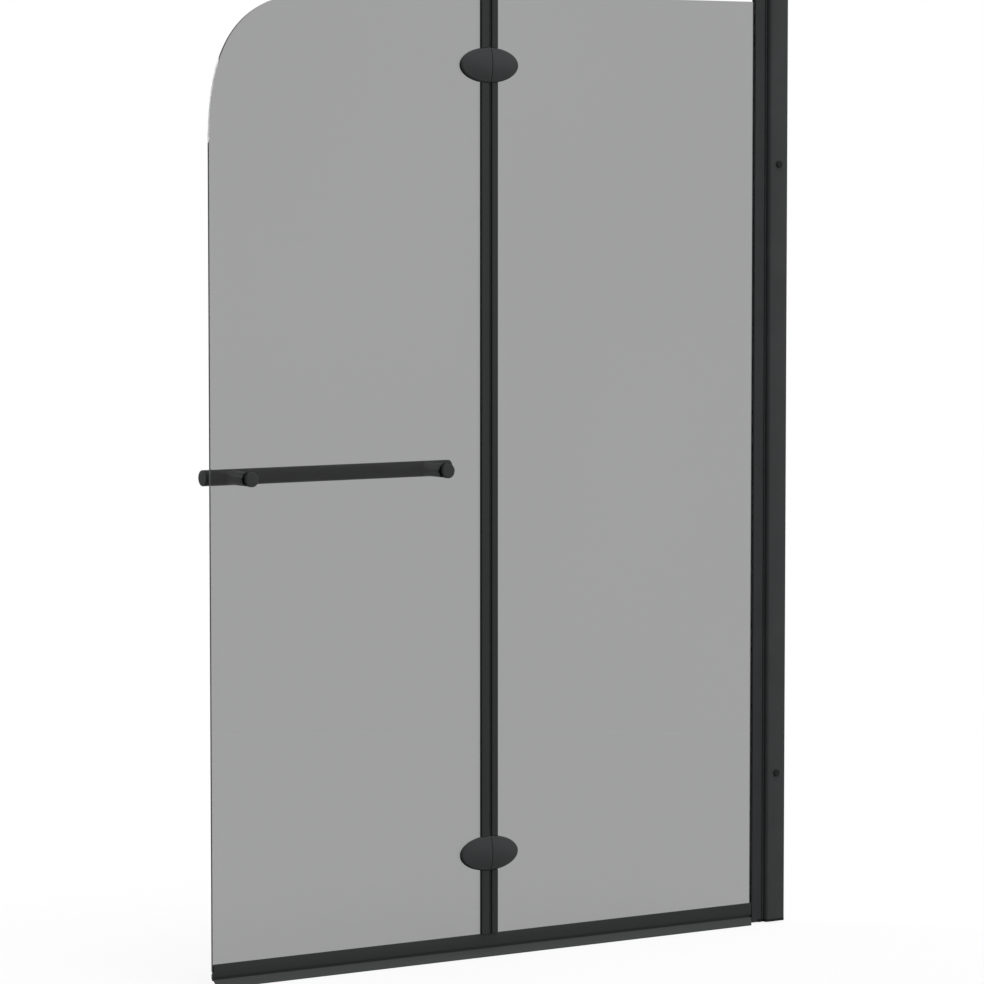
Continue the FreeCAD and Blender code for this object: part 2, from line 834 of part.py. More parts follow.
# Strips and seals stop at the hinge covers in front, and run on behind the covers as far as the leaves
def front_tools(kind, gap):
    """Tools that cut one kind of piece back to the outlines of the hinge covers."""
    return {
        level: oval(
            f"{kind}_front_tool_{level}",
            "at.oval_x",
            f"dim.hinge_half_length + {gap}",
            f"dim.hinge_half_height + {gap}",
            ("at.oval_front", "-at.half_glass"),
            height,
        )
        for level, height in HINGES.items()
    }


strip_front_tools = front_tools("strip", "dim.strip_cover_gap")
seal_front_tools = front_tools("seal", "dim.strip_clearance")
leaf_tools = {
    level: oval(
        f"leaf_tool_{level}",
        "at.fold_x",
        "dim.leaf_far + dim.overrun",
        "dim.leaf_half_height + dim.overrun",
        ("-at.half_glass - dim.strip_clearance", "at.hinge_y"),
        height,
    )
    for level, height in HINGES.items()
}

# Strips along the fold on both panes, and the soft seal between them
STRIP_SECTIONS = {
    side: [
        (f"at.fold_x {sign} dim.{side}_strip_far", "-at.half_glass"),
        (f"at.fold_x {sign} dim.{side}_strip_far", "at.strip_front"),
        (f"at.fold_x {sign} dim.{side}_strip_near", "at.strip_front"),
        (f"at.fold_x {sign} dim.{side}_strip_near", "at.half_glass + dim.strip_back"),
        (
            f"at.fold_x {sign} (dim.{side}_strip_near + dim.strip_back_reach)",
            "at.half_glass + dim.strip_back",
        ),
        (f"at.fold_x {sign} (dim.{side}_strip_near + dim.strip_back_reach)", "at.half_glass"),
        (f"at.fold_x {sign} (dim.{side}_strip_near + dim.strip_web)", "at.half_glass"),
        (f"at.fold_x {sign} (dim.{side}_strip_near + dim.strip_web)", "-at.half_glass"),
    ]
    for side, sign in SIDES.items()
}
SEGMENTS = {
    "bottom": ("dim.rail_top + dim.strip_end_gap", "dim.hinge_low", ["lower"]),
    "middle": ("dim.hinge_low", "at.hinge_high", ["lower", "upper"]),
    "top": ("at.hinge_high", "at.glass_top", ["upper"]),
}
for place, (start, stop_z, levels) in SEGMENTS.items():
    length = f"({stop_z}) - ({start})"
    backs = [leaf_tools[level] for level in levels]
    strip_tools = [strip_front_tools[level] for level in levels] + backs
    seal_tools = [seal_front_tools[level] for level in levels] + backs
    for side, section in STRIP_SECTIONS.items():
        strip = extrusion(f"{side}_strip_{place}", "XY_Plane", section, length, start)
        round_edges(
            strip,
            "dim.strip_rounding",
            lambda spot: near(spot.y, AT.strip_front) and near(spot.z, strip.Tip.Length.Value / 2),
        )
        keep(cut(f"{side}_fold_strip_{place}", strip, strip_tools))
    bead = block(
        f"fold_bead_{place}",
        (
            "at.fold_x - dim.outer_strip_near",
            "at.fold_x + dim.inner_strip_near - dim.strip_clearance",
        ),
        ("-dim.fold_seal_front", "dim.fold_seal_back"),
        (start, stop_z),
    )
    keep(cut(f"fold_seal_{place}", bead, seal_tools))

# Hinge covers, pads and leaves, two panels at two heights
KNUCKLES = {
    "outer": [("-dim.knuckle_length / 2", "dim.knuckle_length / 2")],
    "inner": [
        ("-dim.leaf_half_height", "-dim.knuckle_length / 2 - dim.knuckle_gap"),
        ("dim.knuckle_length / 2 + dim.knuckle_gap", "dim.leaf_half_height"),
    ],
}
for level, height in HINGES.items():
    for side in SIDES:
        tag = f"{side}_{level}"
        spots = [spot[1:] for spot in hinge_screw_spots(side) if spot[0].startswith(level)]
        plate = half_oval(
            f"cover_{tag}",
            side,
            "dim.split_gap",
            "at.oval_x",
            "dim.hinge_half_length",
            "dim.hinge_half_height",
            ("at.oval_front", "-at.pad_back"),
            height,
        )
        body = rounded_front(f"cover_round_{tag}", plate, AT.oval_front, DIM.oval_rounding)
        threads = [
            rod(
                f"cover_thread_{tag}_{number}",
                "y",
                "dim.hinge_screw_radius + dim.thread_gap",
                ("-at.pad_back - dim.hinge_screw_bite - dim.head_play", "dim.overrun - at.pad_back"),
                spot,
            )
            for number, spot in enumerate(spots)
        ]
        keep(cut(f"{side}_hinge_cover_{level}", body, threads))

        holes = [
            rod(
                f"clamp_hole_{tag}_{number}",
                "y",
                "dim.hinge_screw_radius + dim.screw_play",
                ("-at.pad_back - dim.overrun", "at.leaf_back + dim.overrun"),
                spot,
            )
            for number, spot in enumerate(spots)
        ]
        front = half_oval(
            f"pad_front_{tag}",
            side,
            "dim.split_gap + dim.pad_inset + dim.outer_strip_near + dim.strip_web",
            "at.oval_x",
            "dim.hinge_half_length - dim.pad_inset",
            "dim.hinge_half_height - dim.pad_inset",
            ("-at.pad_back", "-at.half_glass"),
            height,
        )
        keep(cut(f"{side}_hinge_pad_front_{level}", front, holes))
        back = half_oval(
            f"pad_back_{tag}",
            side,
            "dim.leaf_near",
            "at.fold_x",
            "dim.leaf_far",
            "dim.leaf_half_height",
            ("at.half_glass", "at.pad_back"),
            height,
        )
        keep(cut(f"{side}_hinge_pad_back_{level}", back, holes))

        plate = half_oval(
            f"leaf_{tag}",
            side,
            "dim.leaf_near",
            "at.fold_x",
            "dim.leaf_far",
            "dim.leaf_half_height",
            ("at.pad_back", "at.leaf_back"),
            height,
        )
        solids = [plate]
        for number, (bottom, top) in enumerate(KNUCKLES[side]):
            ends = (f"{height} + ({bottom})", f"{height} + ({top})")
            solids.append(
                block(
                    f"leaf_arm_{tag}_{number}",
                    from_fold(side, "0", "dim.leaf_near + dim.overrun"),
                    ("at.pad_back + dim.strip_clearance", "at.leaf_back"),
                    ends,
                )
            )
            solids.append(
                rod(
                    f"leaf_knuckle_{tag}_{number}",
                    "z",
                    "dim.knuckle_radius",
                    ends,
                    ("at.fold_x", "at.hinge_y"),
                )
            )
        bore = rod(
            f"leaf_bore_{tag}",
            "z",
            "dim.fold_pin_radius + dim.running_gap",
            (
                f"{height} - dim.leaf_half_height - dim.overrun",
                f"{height} + dim.leaf_half_height + dim.overrun",
            ),
            ("at.fold_x", "at.hinge_y"),
        )
        keep(cut(f"{side}_hinge_leaf_{level}", join(f"leaf_whole_{tag}", solids), holes + [bore]))
    keep(
        rod(
            f"hinge_pin_{level}",
            "z",
            "dim.fold_pin_radius",
            (f"{height} - dim.leaf_half_height", f"{height} + dim.leaf_half_height"),
            ("at.fold_x", "at.hinge_y"),
        )
    )

for side in SIDES:
    screws = []
    for name, across, rise in hinge_screw_spots(side):
        shank = rod(
            f"{side}_shank_{name}",
            "y",
            "dim.hinge_screw_radius",
            ("-at.pad_back - dim.hinge_screw_bite", "at.leaf_back"),
            (across, rise),
        )
        head = rod(
            f"{side}_head_{name}",
            "y",
            "dim.hinge_head_radius",
            ("at.leaf_back", "at.leaf_back + dim.hinge_head_height"),
            (across, rise),
        )
        screws.append(join(f"{side}_screw_{name}", [shank, head]))
    keep(group(f"{side}_hinge_screws", screws))

# Towel bar with plugged ends
BAR_AXIS = ("dim.bar_behind", "dim.bar_height")
STUD_Y = (
    "-at.bar_pad_face - dim.stud_in_knob",
    "dim.bar_behind - dim.bar_radius + dim.stud_in_bar",
)
tube_ends = ("at.bar_low_x + dim.bar_end_thickness", "at.bar_high_x - dim.bar_end_thickness")
tube = rod("bar_tube", "x", "dim.bar_radius", tube_ends, BAR_AXIS)
bar_tools = [
    rod(
        "bar_inside",
        "x",
        "dim.bar_radius - dim.bar_wall",
        ("at.bar_low_x - dim.overrun", "at.bar_high_x + dim.overrun"),
        BAR_AXIS,
    )
]
bar_tools += [
    rod(
        f"bar_stud_hole_{name}",
        "y",
        "dim.stud_radius + dim.thread_gap",
        ("dim.bar_behind - dim.bar_radius - dim.overrun", "dim.bar_behind"),
        (across, "dim.bar_height"),
    )
    for name, across in POSTS.items()
]
keep(cut("towel_bar", tube, bar_tools))
PLUG = "dim.bar_radius - dim.bar_wall - dim.thread_gap"
CAPS = {
    "outer": (
        ("at.bar_low_x", tube_ends[0]),
        (tube_ends[0], f"{tube_ends[0]} + dim.bar_plug_length"),
    ),
    "inner": (
        (tube_ends[1], "at.bar_high_x"),
        (f"{tube_ends[1]} - dim.bar_plug_length", tube_ends[1]),
    ),
}
for name, (flange_ends, plug_ends) in CAPS.items():
    flange = rod(f"bar_flange_{name}", "x", "dim.bar_radius", flange_ends, BAR_AXIS)
    plug = rod(f"bar_plug_{name}", "x", PLUG, plug_ends, BAR_AXIS)
    keep(join(f"bar_end_cap_{name}", [flange, plug]))

# Posts, knobs, collared washers and studs
studs = []
washers = []
WASHERS = {
    "front": (("-at.bar_pad_face", "-at.half_glass"), ("-at.half_glass", "-dim.collar_play")),
    "back": (("at.half_glass", "at.bar_pad_face"), ("dim.collar_play", "at.half_glass")),
}
for name, across in POSTS.items():
    spot = (across, "dim.bar_height")
    stem = rod(f"post_stem_{name}", "y", "dim.post_radius", ("at.bar_pad_face", "dim.bar_behind"), spot)
    saddle = rod(
        f"post_saddle_{name}",
        "x",
        "dim.bar_radius + dim.thread_gap",
        (f"{across} - dim.post_radius - dim.overrun", f"{across} + dim.post_radius + dim.overrun"),
        BAR_AXIS,
    )
    duct = rod(
        f"post_duct_{name}",
        "y",
        "dim.stud_radius + dim.screw_play",
        ("at.bar_pad_face - dim.overrun", "dim.bar_behind"),
        spot,
    )
    keep(cut(f"bar_post_{name}", stem, [saddle, duct]))
    knob = disc(
        f"knob_disc_{name}",
        "dim.knob_radius",
        "dim.knob_thickness",
        (across, "-at.bar_pad_face", "dim.bar_height"),
    )
    round_edges(knob, "dim.knob_rounding", lambda spot: near(spot.y, -DIM.knob_thickness))
    thread = rod(
        f"knob_thread_{name}",
        "y",
        "dim.stud_radius + dim.thread_gap",
        (f"{STUD_Y[0]} - dim.head_play", "dim.overrun - at.bar_pad_face"),
        spot,
    )
    keep(cut(f"bar_knob_{name}", knob, [thread]))
    studs.append(rod(f"bar_stud_{name}", "y", "dim.stud_radius", STUD_Y, spot))
    for face, (ring_ends, collar_ends) in WASHERS.items():
        ring = rod(f"washer_ring_{name}_{face}", "y", "dim.bar_pad_radius", ring_ends, spot)
        collar = rod(
            f"washer_collar_{name}_{face}",
            "y",
            "dim.bar_hole_radius - dim.collar_play",
            collar_ends,
            spot,
        )
        bore = rod(
            f"washer_bore_{name}_{face}",
            "y",
            "dim.stud_radius + dim.collar_play",
            ("-at.bar_pad_face - dim.overrun", "at.bar_pad_face + dim.overrun"),
            spot,
        )
        whole = join(f"washer_whole_{name}_{face}", [ring, collar])
        washers.append(cut(f"washer_{name}_{face}", whole, [bore]))
keep(group("bar_studs", studs))
keep(group("bar_washers", washers))

# Rebuild, check and export
DOC.recompute()
for thing in DOC.Objects:
    if "Invalid" in thing.State or "Error" in thing.State:
        raise RuntimeError(f"{thing.Name} did not rebuild: {thing.State}")
for node in NODES:
    if node.Shape.isNull() or not node.Shape.isValid() or not node.Shape.Solids:
        raise RuntimeError(f"{node.Name} has no valid solid")
os.makedirs("parts", exist_ok=True)
for node in NODES:
    node.Shape.exportStep(f"parts/{node.Label}.step")
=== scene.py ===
import math

import bmesh
import bpy
from bpy.props import FloatProperty, FloatVectorProperty, PointerProperty
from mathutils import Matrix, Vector, geometry


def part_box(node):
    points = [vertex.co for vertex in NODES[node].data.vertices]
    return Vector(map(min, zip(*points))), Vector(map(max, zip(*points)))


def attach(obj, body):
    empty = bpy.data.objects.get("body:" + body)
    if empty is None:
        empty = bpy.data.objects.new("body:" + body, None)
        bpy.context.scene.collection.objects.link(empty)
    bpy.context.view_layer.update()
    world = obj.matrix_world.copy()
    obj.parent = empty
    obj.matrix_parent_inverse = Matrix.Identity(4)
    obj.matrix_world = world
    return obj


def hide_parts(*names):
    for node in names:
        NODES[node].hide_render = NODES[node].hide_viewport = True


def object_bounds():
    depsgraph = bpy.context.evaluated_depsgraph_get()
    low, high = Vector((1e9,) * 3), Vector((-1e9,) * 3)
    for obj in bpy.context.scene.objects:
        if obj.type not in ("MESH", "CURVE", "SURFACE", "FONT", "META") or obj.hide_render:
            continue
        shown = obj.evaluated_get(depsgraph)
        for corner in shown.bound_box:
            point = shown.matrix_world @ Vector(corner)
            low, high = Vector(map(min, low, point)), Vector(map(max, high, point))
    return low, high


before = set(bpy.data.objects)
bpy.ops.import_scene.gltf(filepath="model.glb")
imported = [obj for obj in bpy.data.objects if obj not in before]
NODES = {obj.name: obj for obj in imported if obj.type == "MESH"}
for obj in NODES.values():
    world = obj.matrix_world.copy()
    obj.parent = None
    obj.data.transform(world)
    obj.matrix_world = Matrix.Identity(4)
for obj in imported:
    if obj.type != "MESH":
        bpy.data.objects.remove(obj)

bl_info = {
    "name": "Folding bath screen",
    "version": (1, 0, 0),
    "blender": (4, 5, 0),
    "location": "View3D > Sidebar > Bath screen",
    "description": "Builds the looks of a folding bath screen around its packed solids",
    "category": "Object",
}

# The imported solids' box, kept before anything is added
CAD_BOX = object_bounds()
MM = 0.001
SIDES = {"outer": -1, "inner": 1}
LEVELS = ("lower", "upper")
PLACES = ("bottom", "middle", "top")

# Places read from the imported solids
PANE_BOX = {side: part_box(f"{side}_glass") for side in SIDES}
COVER_BOX = {
    (side, level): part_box(f"{side}_hinge_cover_{level}") for side in SIDES for level in LEVELS
}
LEAF_BOX = {
    (side, level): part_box(f"{side}_hinge_leaf_{level}") for side in SIDES for level in LEVELS
}
FOLD_X = (COVER_BOX["outer", "lower"][1].x + COVER_BOX["inner", "lower"][0].x) / 2
HINGE_Z = {level: sum(corner.z for corner in COVER_BOX["outer", level]) / 2 for level in LEVELS}
CHANNEL_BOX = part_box("cover_profile")
BAR_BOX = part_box("towel_bar")
BAR_Y = (BAR_BOX[0].y + BAR_BOX[1].y) / 2
BAR_Z = (BAR_BOX[0].z + BAR_BOX[1].z) / 2
POST_X = {side: sum(corner.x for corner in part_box(f"bar_post_{side}")) / 2 for side in SIDES}

# How finely bends, holes, ovals and turned forms are divided
BEND_STEPS = 8
FILLET_STEPS = 5
RAIL_STEPS = 4
HOLE_STEPS = 32
TURN_STEPS = 48
POST_STEPS = 64
BAR_STEPS = 72
OVAL_ARC_STEPS = 56
OVAL_CUT_STEPS = 16
CORNER_POINTS = 73
# Shares of the oval's face, from its edge inward, at which its swell is drawn
CROWN_PARTS = (0.93, 0.84, 0.72, 0.58, 0.42, 0.25, 0.1)
# Edges between faces that meet at more than so many degrees stay sharp
SHARP = 32.0
PANE_SHARP = 15.0
# The least that a moved corner's mitre divides by
MITRE_LIMIT = 0.2
# Share of the arris at which its slope changes
ARRIS_STEP = 0.3
# Eases that many edges share
LIP_EASE = 0.1 * MM
END_EASE = 0.15 * MM
FOOT_EASE = 0.2 * MM
FINE_EASE = 0.3 * MM
EDGE_EASE = 0.4 * MM
# Where a round button's face turns level, in degrees and as a share of its radius
QUARTER = 90.0
BUTTON_FLAT = 0.5
CAP_BEND = 84.0
CAP_FLAT = 0.4
# Room between the bar and the plugs of its end caps
PLUG_GAP = 0.03 * MM
# Shares of a screw's head that give its recess, and of its shank that give its point
SOCKET_WIDTH = 0.48
SOCKET_DEPTH = 0.62
SOCKET_MOUTH = 1.16
SOCKET_POINT = 1.15
SOCKET_EDGE = 0.12 * MM
SCREW_TIP = 0.7
SCREW_TAPER = 0.4

# Span of the noise that a finish spreads over its numbers and over its tints
NOISE_SPAN = (0.25, 0.75)
TINT_SPAN = (0.3, 0.7)
# How noise is stretched into lines
ALONG_X = (0.02, 1.0, 1.0)
ALONG_Z = (1.0, 1.0, 0.02)
# Kinds of finish: scales of the noise in tint, sheen and relief, and how far each goes
GRAIN_NAMES = (
    "cloud", "dark", "light", "sheen", "swing", "relief", "detail", "strength", "height", "metal"
)
COAT, DRAWN, MOULDED, BARE = (
    dict(zip(GRAIN_NAMES, numbers))
    for numbers in (
        (18.0, 0.93, 1.07, 220.0, 0.05, 500.0, 2.0, 0.04, 0.05 * MM, 0.0),
        (60.0, 0.92, 1.08, 160.0, 0.06, 900.0, 2.0, 0.12, 0.05 * MM, 0.0),
        (90.0, 0.88, 1.12, 400.0, 0.05, 2200.0, 2.0, 0.1, 0.06 * MM, 0.0),
        (120.0, 0.9, 1.08, 1500.0, 0.07, 1500.0, 3.0, 0.12, 0.05 * MM, 1.0),
    )
)
WHITE = (1.0, 1.0, 1.0, 1.0)

# Stage, in metres: the floor's middle lies a hair under the part
FLOOR_MIDDLE = (-0.5, 0.0, CAD_BOX[0].z - 0.2 * MM)
FLOOR_RADIUS = 16.0
FLOOR_SIDES = 96
# How the floor turns from keeping the shadow to plain white, by the distance from its middle
FLOOR_FADE = {"From Min": 0.7, "From Max": 2.6, "To Min": 0.86, "To Max": 1.0}
# Each light's place and width, and the point they face
LAMPS = {
    "key": (Vector((5.5, -4.0, 2.2)), 3.0),
    "top": (Vector((-0.2, -0.9, 6.0)), 3.2),
    "fill": (Vector((-4.2, 4.6, 2.6)), 3.0),
}
LAMP_AIM = Vector((-0.5, 0.0, 0.7))
SENSOR_WIDTH = 36.0
CLIP_END = 100.0


def length(name, description, millimetres):
    """A size, given in millimetres and kept in metres."""
    return FloatProperty(
        name=name,
        description=description,
        default=millimetres * MM,
        min=0.0,
        precision=4,
        subtype="DISTANCE",
        unit="LENGTH",
    )


def share(name, description, default):
    """A number from nought to one."""
    return FloatProperty(
        name=name, description=description, default=default, min=0.0, max=1.0, subtype="FACTOR"
    )


def colour(name, description, default):
    """A colour in linear light."""
    return FloatVectorProperty(
        name=name, description=description, default=default, size=3, min=0.0, max=1.0, subtype="COLOR"
    )


def power(name, description, default):
    """A lamp's power in watts."""
    return FloatProperty(
        name=name, description=description, default=default, min=0.0, subtype="POWER", unit="POWER"
    )


def turn(name, description, degrees):
    """An angle, given in degrees and kept in radians."""
    angle = math.radians(degrees)
    return FloatProperty(
        name=name, description=description, default=angle, subtype="ANGLE", unit="ROTATION"
    )


class ScreenSizes(bpy.types.PropertyGroup):
    """Sizes that finish the solids' edges and small details"""

    corner_reach: length("Corner reach", "Run of the round corner along the pane's edges", 218)
    corner_share: share("Corner fullness", "Handles of the round corner, as a share of its reach", 0.735)
    pane_corner: length("Pane corner", "Radius of the panes' other corners", 1.5)
    arris: length("Arris", "Width of the ground edge all round each pane", 0.7)
    hinge_hole: length("Hinge hole", "Radius of the clamping holes in the panes", 4.0)
    bar_hole: length("Bar hole", "Radius of the bar's holes in the outer pane", 5.0)
    screw_from_fold: length("Screw offset", "Screws' distance from the fold line", 18)
    screw_rise: length("Screw rise", "Screws' distance from the hinge's middle", 11)
    oval_rounding: length("Oval rounding", "Rounding along the oval cover's edge", 4.0)
    oval_crown: length("Oval crown", "Swell of the oval cover's face", 3.6)
    split_rounding: length("Split rounding", "Rounding along the oval's split", 0.4)
    leaf_rounding: length("Leaf rounding", "Rounding along the hinge leaf's far edge", 0.9)
    leaf_sink: length("Leaf sink", "Far face's distance from the hinge axis", 2.2)
    arm_lift: length("Arm lift", "Step from the near face to the arms", 0.3)
    arm_overlap: length("Arm overlap", "Run of the arms into the leaf", 2.0)
    knuckle_radius: length("Knuckle radius", "Radius of the hinge knuckles", 5.5)
    knuckle_length: length("Knuckle length", "Length of the outer leaf's knuckle", 12.0)
    knuckle_gap: length("Knuckle gap", "Gap between two knuckles", 0.4)
    knuckle_bore: length("Knuckle bore", "Radius of the pin's hole in the knuckles", 2.55)
    hinge_head: length("Hinge screw head", "Radius of the clamping screws' heads", 4.0)
    hinge_head_height: length("Hinge head height", "Height of the clamping screws' heads", 2.4)
    hinge_head_rounding: length("Hinge head rounding", "Rounding of the clamping screws' heads", 0.8)
    hinge_shank: length("Hinge screw shank", "Radius of the clamping screws' shanks", 2.5)
    plate_head: length("Plate screw head", "Radius of the end plate screws' heads", 2.8)
    plate_head_height: length("Plate head height", "Height of the end plate screws' heads", 1.8)
    plate_shank: length("Plate screw shank", "Radius of the end plate screws' shanks", 1.5)
    plate_reach: length("Plate screw reach", "Length of the end plate screws' shanks", 16)
    cover_corner: length("Cover corner", "Outer corner radius of the wall cover", 5.0)
    cover_wall: length("Cover wall", "Wall of the cover profile", 1.6)
    cap_rounding: length("Cap rounding", "Rounding of the lock screw caps", 0.5)
    seal_reach: length("Seal reach", "Reach of the seals' lips", 0.28)
    seal_lip: length("Seal lip", "Thickness of the seals' soft lips", 2.0)
    joint_reach: length("Joint reach", "Reach of rails and lips into their joint", 0.2)
    rail_edge: length("Rail edge", "Rounding of the rail's upper front edge", 0.6)
    rail_ease: length("Rail ease", "Rounding of the rail's other edges", 0.35)
    rail_drop: length("Rail drop", "Step from the rail's front down to its back", 1.5)
    rail_chamfer: length("Rail chamfer", "Chamfer of the rail's lower back edge", 0.9)
    groove_height: length("Groove height", "Height of the groove under the rail's front", 3.7)
    groove_depth: length("Groove depth", "Depth of the groove under the rail's front", 2.2)
    waist_foot: length("Waist foot", "Height where the rail's waist starts", 12.7)
    waist_head: length("Waist head", "Height where the rail's waist ends", 15.7)
    waist_slope: length("Waist slope", "Height of the waist's sloping sides", 0.9)
    waist_depth: length("Waist depth", "Depth of the rail's waist", 2.0)
    lip_root: length("Lip root", "Thickness of the drip lip under the rail", 1.6)
    lip_tip: length("Lip tip", "Thickness of the drip lip at its tip", 1.0)
    lip_bend: length("Lip bend", "Rounding where the drip lip slopes away", 0.8)
    lip_mitre: length("Lip mitre", "Cut at the inner drip lip's end", 8.0)
    bar_wall: length("Bar wall", "Wall of the towel bar's tube", 1.6)
    bar_rounding: length("Bar end rounding", "Rounding of the towel bar's end caps", 0.9)
    post_ease: length("Post ease", "Chamfer of the posts' feet", 0.5)
    knob_rounding: length("Knob rounding", "Rounding of the knobs' faces", 1.0)


class ScreenColours(bpy.types.PropertyGroup):
    """Colours of the screen's finishes"""

    glass: colour("Glass tint", "What the tinted pane lets through", (0.335, 0.338, 0.337))
    profile: colour("Profile coat", "Coat of the wall cover", (0.0365, 0.0392, 0.0397))
    # The pivot profile's coat is the wall cover's coat made darker: painted shade
    pivot: colour("Pivot coat", "Coat of the pivot profile", (0.0268, 0.0288, 0.0295))
    hinge: colour("Hinge coat", "Coat of the hinges", (0.0436, 0.0464, 0.0470))
    bar: colour("Bar coat", "Coat of the towel bar and its knobs", (0.0340, 0.0370, 0.0364))
    strip: colour("Strip plastic", "Rails and strips along the panes", (0.0280, 0.0305, 0.0300))
    # The drip lips are the rails' plastic made lighter: painted light on their up-facing slope
    lip: colour("Lip plastic", "Drip lips under the rails", (0.0398, 0.0428, 0.0420))
    # The towel bar's end caps are the bar's own colour made lighter: painted light on their left-facing
    # ends
    bar_cap: colour("Bar cap plastic", "End caps of the towel bar", (0.0385, 0.0412, 0.0407))
    plate: colour("Dark plastic", "End plates and lock screw caps", (0.0128, 0.0136, 0.0136))
    # Made lighter to lift the shaded grooves and gaps the seals, pads and gasket sit in: painted light
    seal: colour("Soft seal", "Gasket, pads and the seal beside the pivot profile", (0.062, 0.066, 0.066))
    fold_seal: colour("Fold seal", "Seal in the fold", (0.0256, 0.0268, 0.0268))
    nylon: colour("Nylon", "Pivot bushes", (0.030, 0.031, 0.031))
    steel: colour("Steel", "Screws, pins and studs", (0.50, 0.50, 0.50))
    aluminium: colour("Aluminium", "Wall channel", (0.55, 0.56, 0.57))
    floor: colour("Floor", "Plain studio floor", (0.70, 0.70, 0.70))


class StageSettings(bpy.types.PropertyGroup):
    """Camera and lights"""

    lens: FloatProperty(
        name="Lens", description="Focal length", default=159.961, min=1.0, subtype="DISTANCE_CAMERA"
    )
    camera_place: FloatVectorProperty(
        name="Camera place",
        description="Where the camera stands",
        default=(-4.04356, -5.24082, 1.12420),
        size=3,
        subtype="TRANSLATION",
        unit="LENGTH",
    )
    camera_turn: turn("Camera turn", "Turn of the camera from the panes' square view", 33.8475)
    camera_dip: turn("Camera dip", "How far the camera looks down", 4.1151)
    key_power: power("Key light", "Power of the large light on the right", 150.0)
    top_power: power("Top light", "Power of the overhead light", 180.0)
    fill_power: power("Fill light", "Power of the light behind the panes", 190.0)
    sky_strength: share("Soft light", "Strength of the soft light halfway between its two sides", 0.42)
    sky_slope: share("Soft light slope", "How much stronger the soft light is on its bright side", 0.85)
    sky_side: FloatVectorProperty(
        name="Soft light side",
        description="Where the soft light is brightest",
        default=(0.60, -0.50, 0.62),
        size=3,
        subtype="DIRECTION",
    )


# Plane figures


def inset(loop, distance):
    """A closed loop moved to its left, which is inward on an anticlockwise one."""
    moved = []
    for number, point in enumerate(loop):
        before = (point - loop[number - 1]).normalized()
        after = (loop[(number + 1) % len(loop)] - point).normalized()
        first = Vector((-before.y, before.x))
        second = Vector((-after.y, after.x))
        moved.append(point + (first + second) * distance / max(MITRE_LIMIT, 1 + first.dot(second)))
    return moved


def rounded(corners, steps=FILLET_STEPS):
    """A closed loop from corners given as across, up and radius."""
    loop = []
    for number, (across, up, radius) in enumerate(corners):
        here = Vector((across, up))
        if radius == 0:
            loop.append(here)
            continue
        back = (Vector(corners[number - 1][:2]) - here).normalized()
        on = (Vector(corners[(number + 1) % len(corners)][:2]) - here).normalized()
        half = back.angle(on) / 2
        centre = here + (back + on).normalized() * radius / math.sin(half)
        start = here + back * radius / math.tan(half) - centre
        bend = math.pi - 2 * half
        if back.x * on.y - back.y * on.x > 0:
            bend = -bend
        for step in range(steps + 1):
            angle = bend * step / steps
            cosine, sine = math.cos(angle), math.sin(angle)
            spoke = Vector((start.x * cosine - start.y * sine, start.x * sine + start.y * cosine))
            loop.append(centre + spoke)
    return loop


def circle(across, up, radius):
    """A clockwise loop, for a hole."""
    angles = [-2 * math.pi * step / HOLE_STEPS for step in range(HOLE_STEPS)]
    return [Vector((across + radius * math.cos(angle), up + radius * math.sin(angle))) for angle in angles]


def fillet(radius, along, size, start, stop):
    """Points of a lathe profile on a quarter round, angles in degrees from the radius."""
    points = []
    for step in range(FILLET_STEPS + 1):
        angle = math.radians(start + (stop - start) * step / FILLET_STEPS)
        points.append((radius + size * math.cos(angle), along + size * math.sin(angle)))
    return points


def button(radius, height, rounding, foot, bend=QUARTER, flat=BUTTON_FLAT):
    """Lathe profile of a round button from its eased foot over its rounded face to the middle."""
    profile = [(radius - foot, 0.0), (radius, foot)]
    profile += fillet(radius - rounding, height - rounding, rounding, 0, bend)
    return profile + [(radius * flat, height), (0.0, height)]


def pipe(inside, outside, start, stop, ease):
    """Lathe profile of a pipe with eased outer edges, given by its two radii."""
    return [
        (inside, start),
        (outside - ease, start),
        (outside, start + ease),
        (outside, stop - ease),
        (outside - ease, stop),
        (inside, stop),
    ]


# Solid forms


def ring(mesh, points):
    """New corners at the given points."""
    return [mesh.verts.new(point) for point in points]


def bridge(mesh, first, second):
    """Quads or a fan between two rings."""
    count = max(len(first), len(second))
    for number in range(count):
        following = (number + 1) % count
        if len(first) == 1:
            mesh.faces.new((first[0], second[number], second[following]))
        elif len(second) == 1:
            mesh.faces.new((first[number], first[following], second[0]))
        else:
            mesh.faces.new((first[number], first[following], second[following], second[number]))


def loft(mesh, rings, closed=False):
    """Bridges rings in order. One face closes an end ring of many points, unless the loft is a tube."""
    for first, second in zip(rings, rings[1:]):
        bridge(mesh, first, second)
    if closed:
        bridge(mesh, rings[-1], rings[0])
        return
    for end in (rings[0], rings[-1]):
        if len(end) > 2:
            mesh.faces.new(end)


def sweep(mesh, section, place, start, stop):
    """A straight bar of one section with eased ends.

    place turns a section point and a distance along the bar into a point.
    """
    small = inset(section, END_EASE)
    stations = [
        (small, start),
        (section, start + END_EASE),
        (section, stop - END_EASE),
        (small, stop),
    ]
    loft(mesh, [ring(mesh, [place(point, along) for point in loop]) for loop, along in stations])


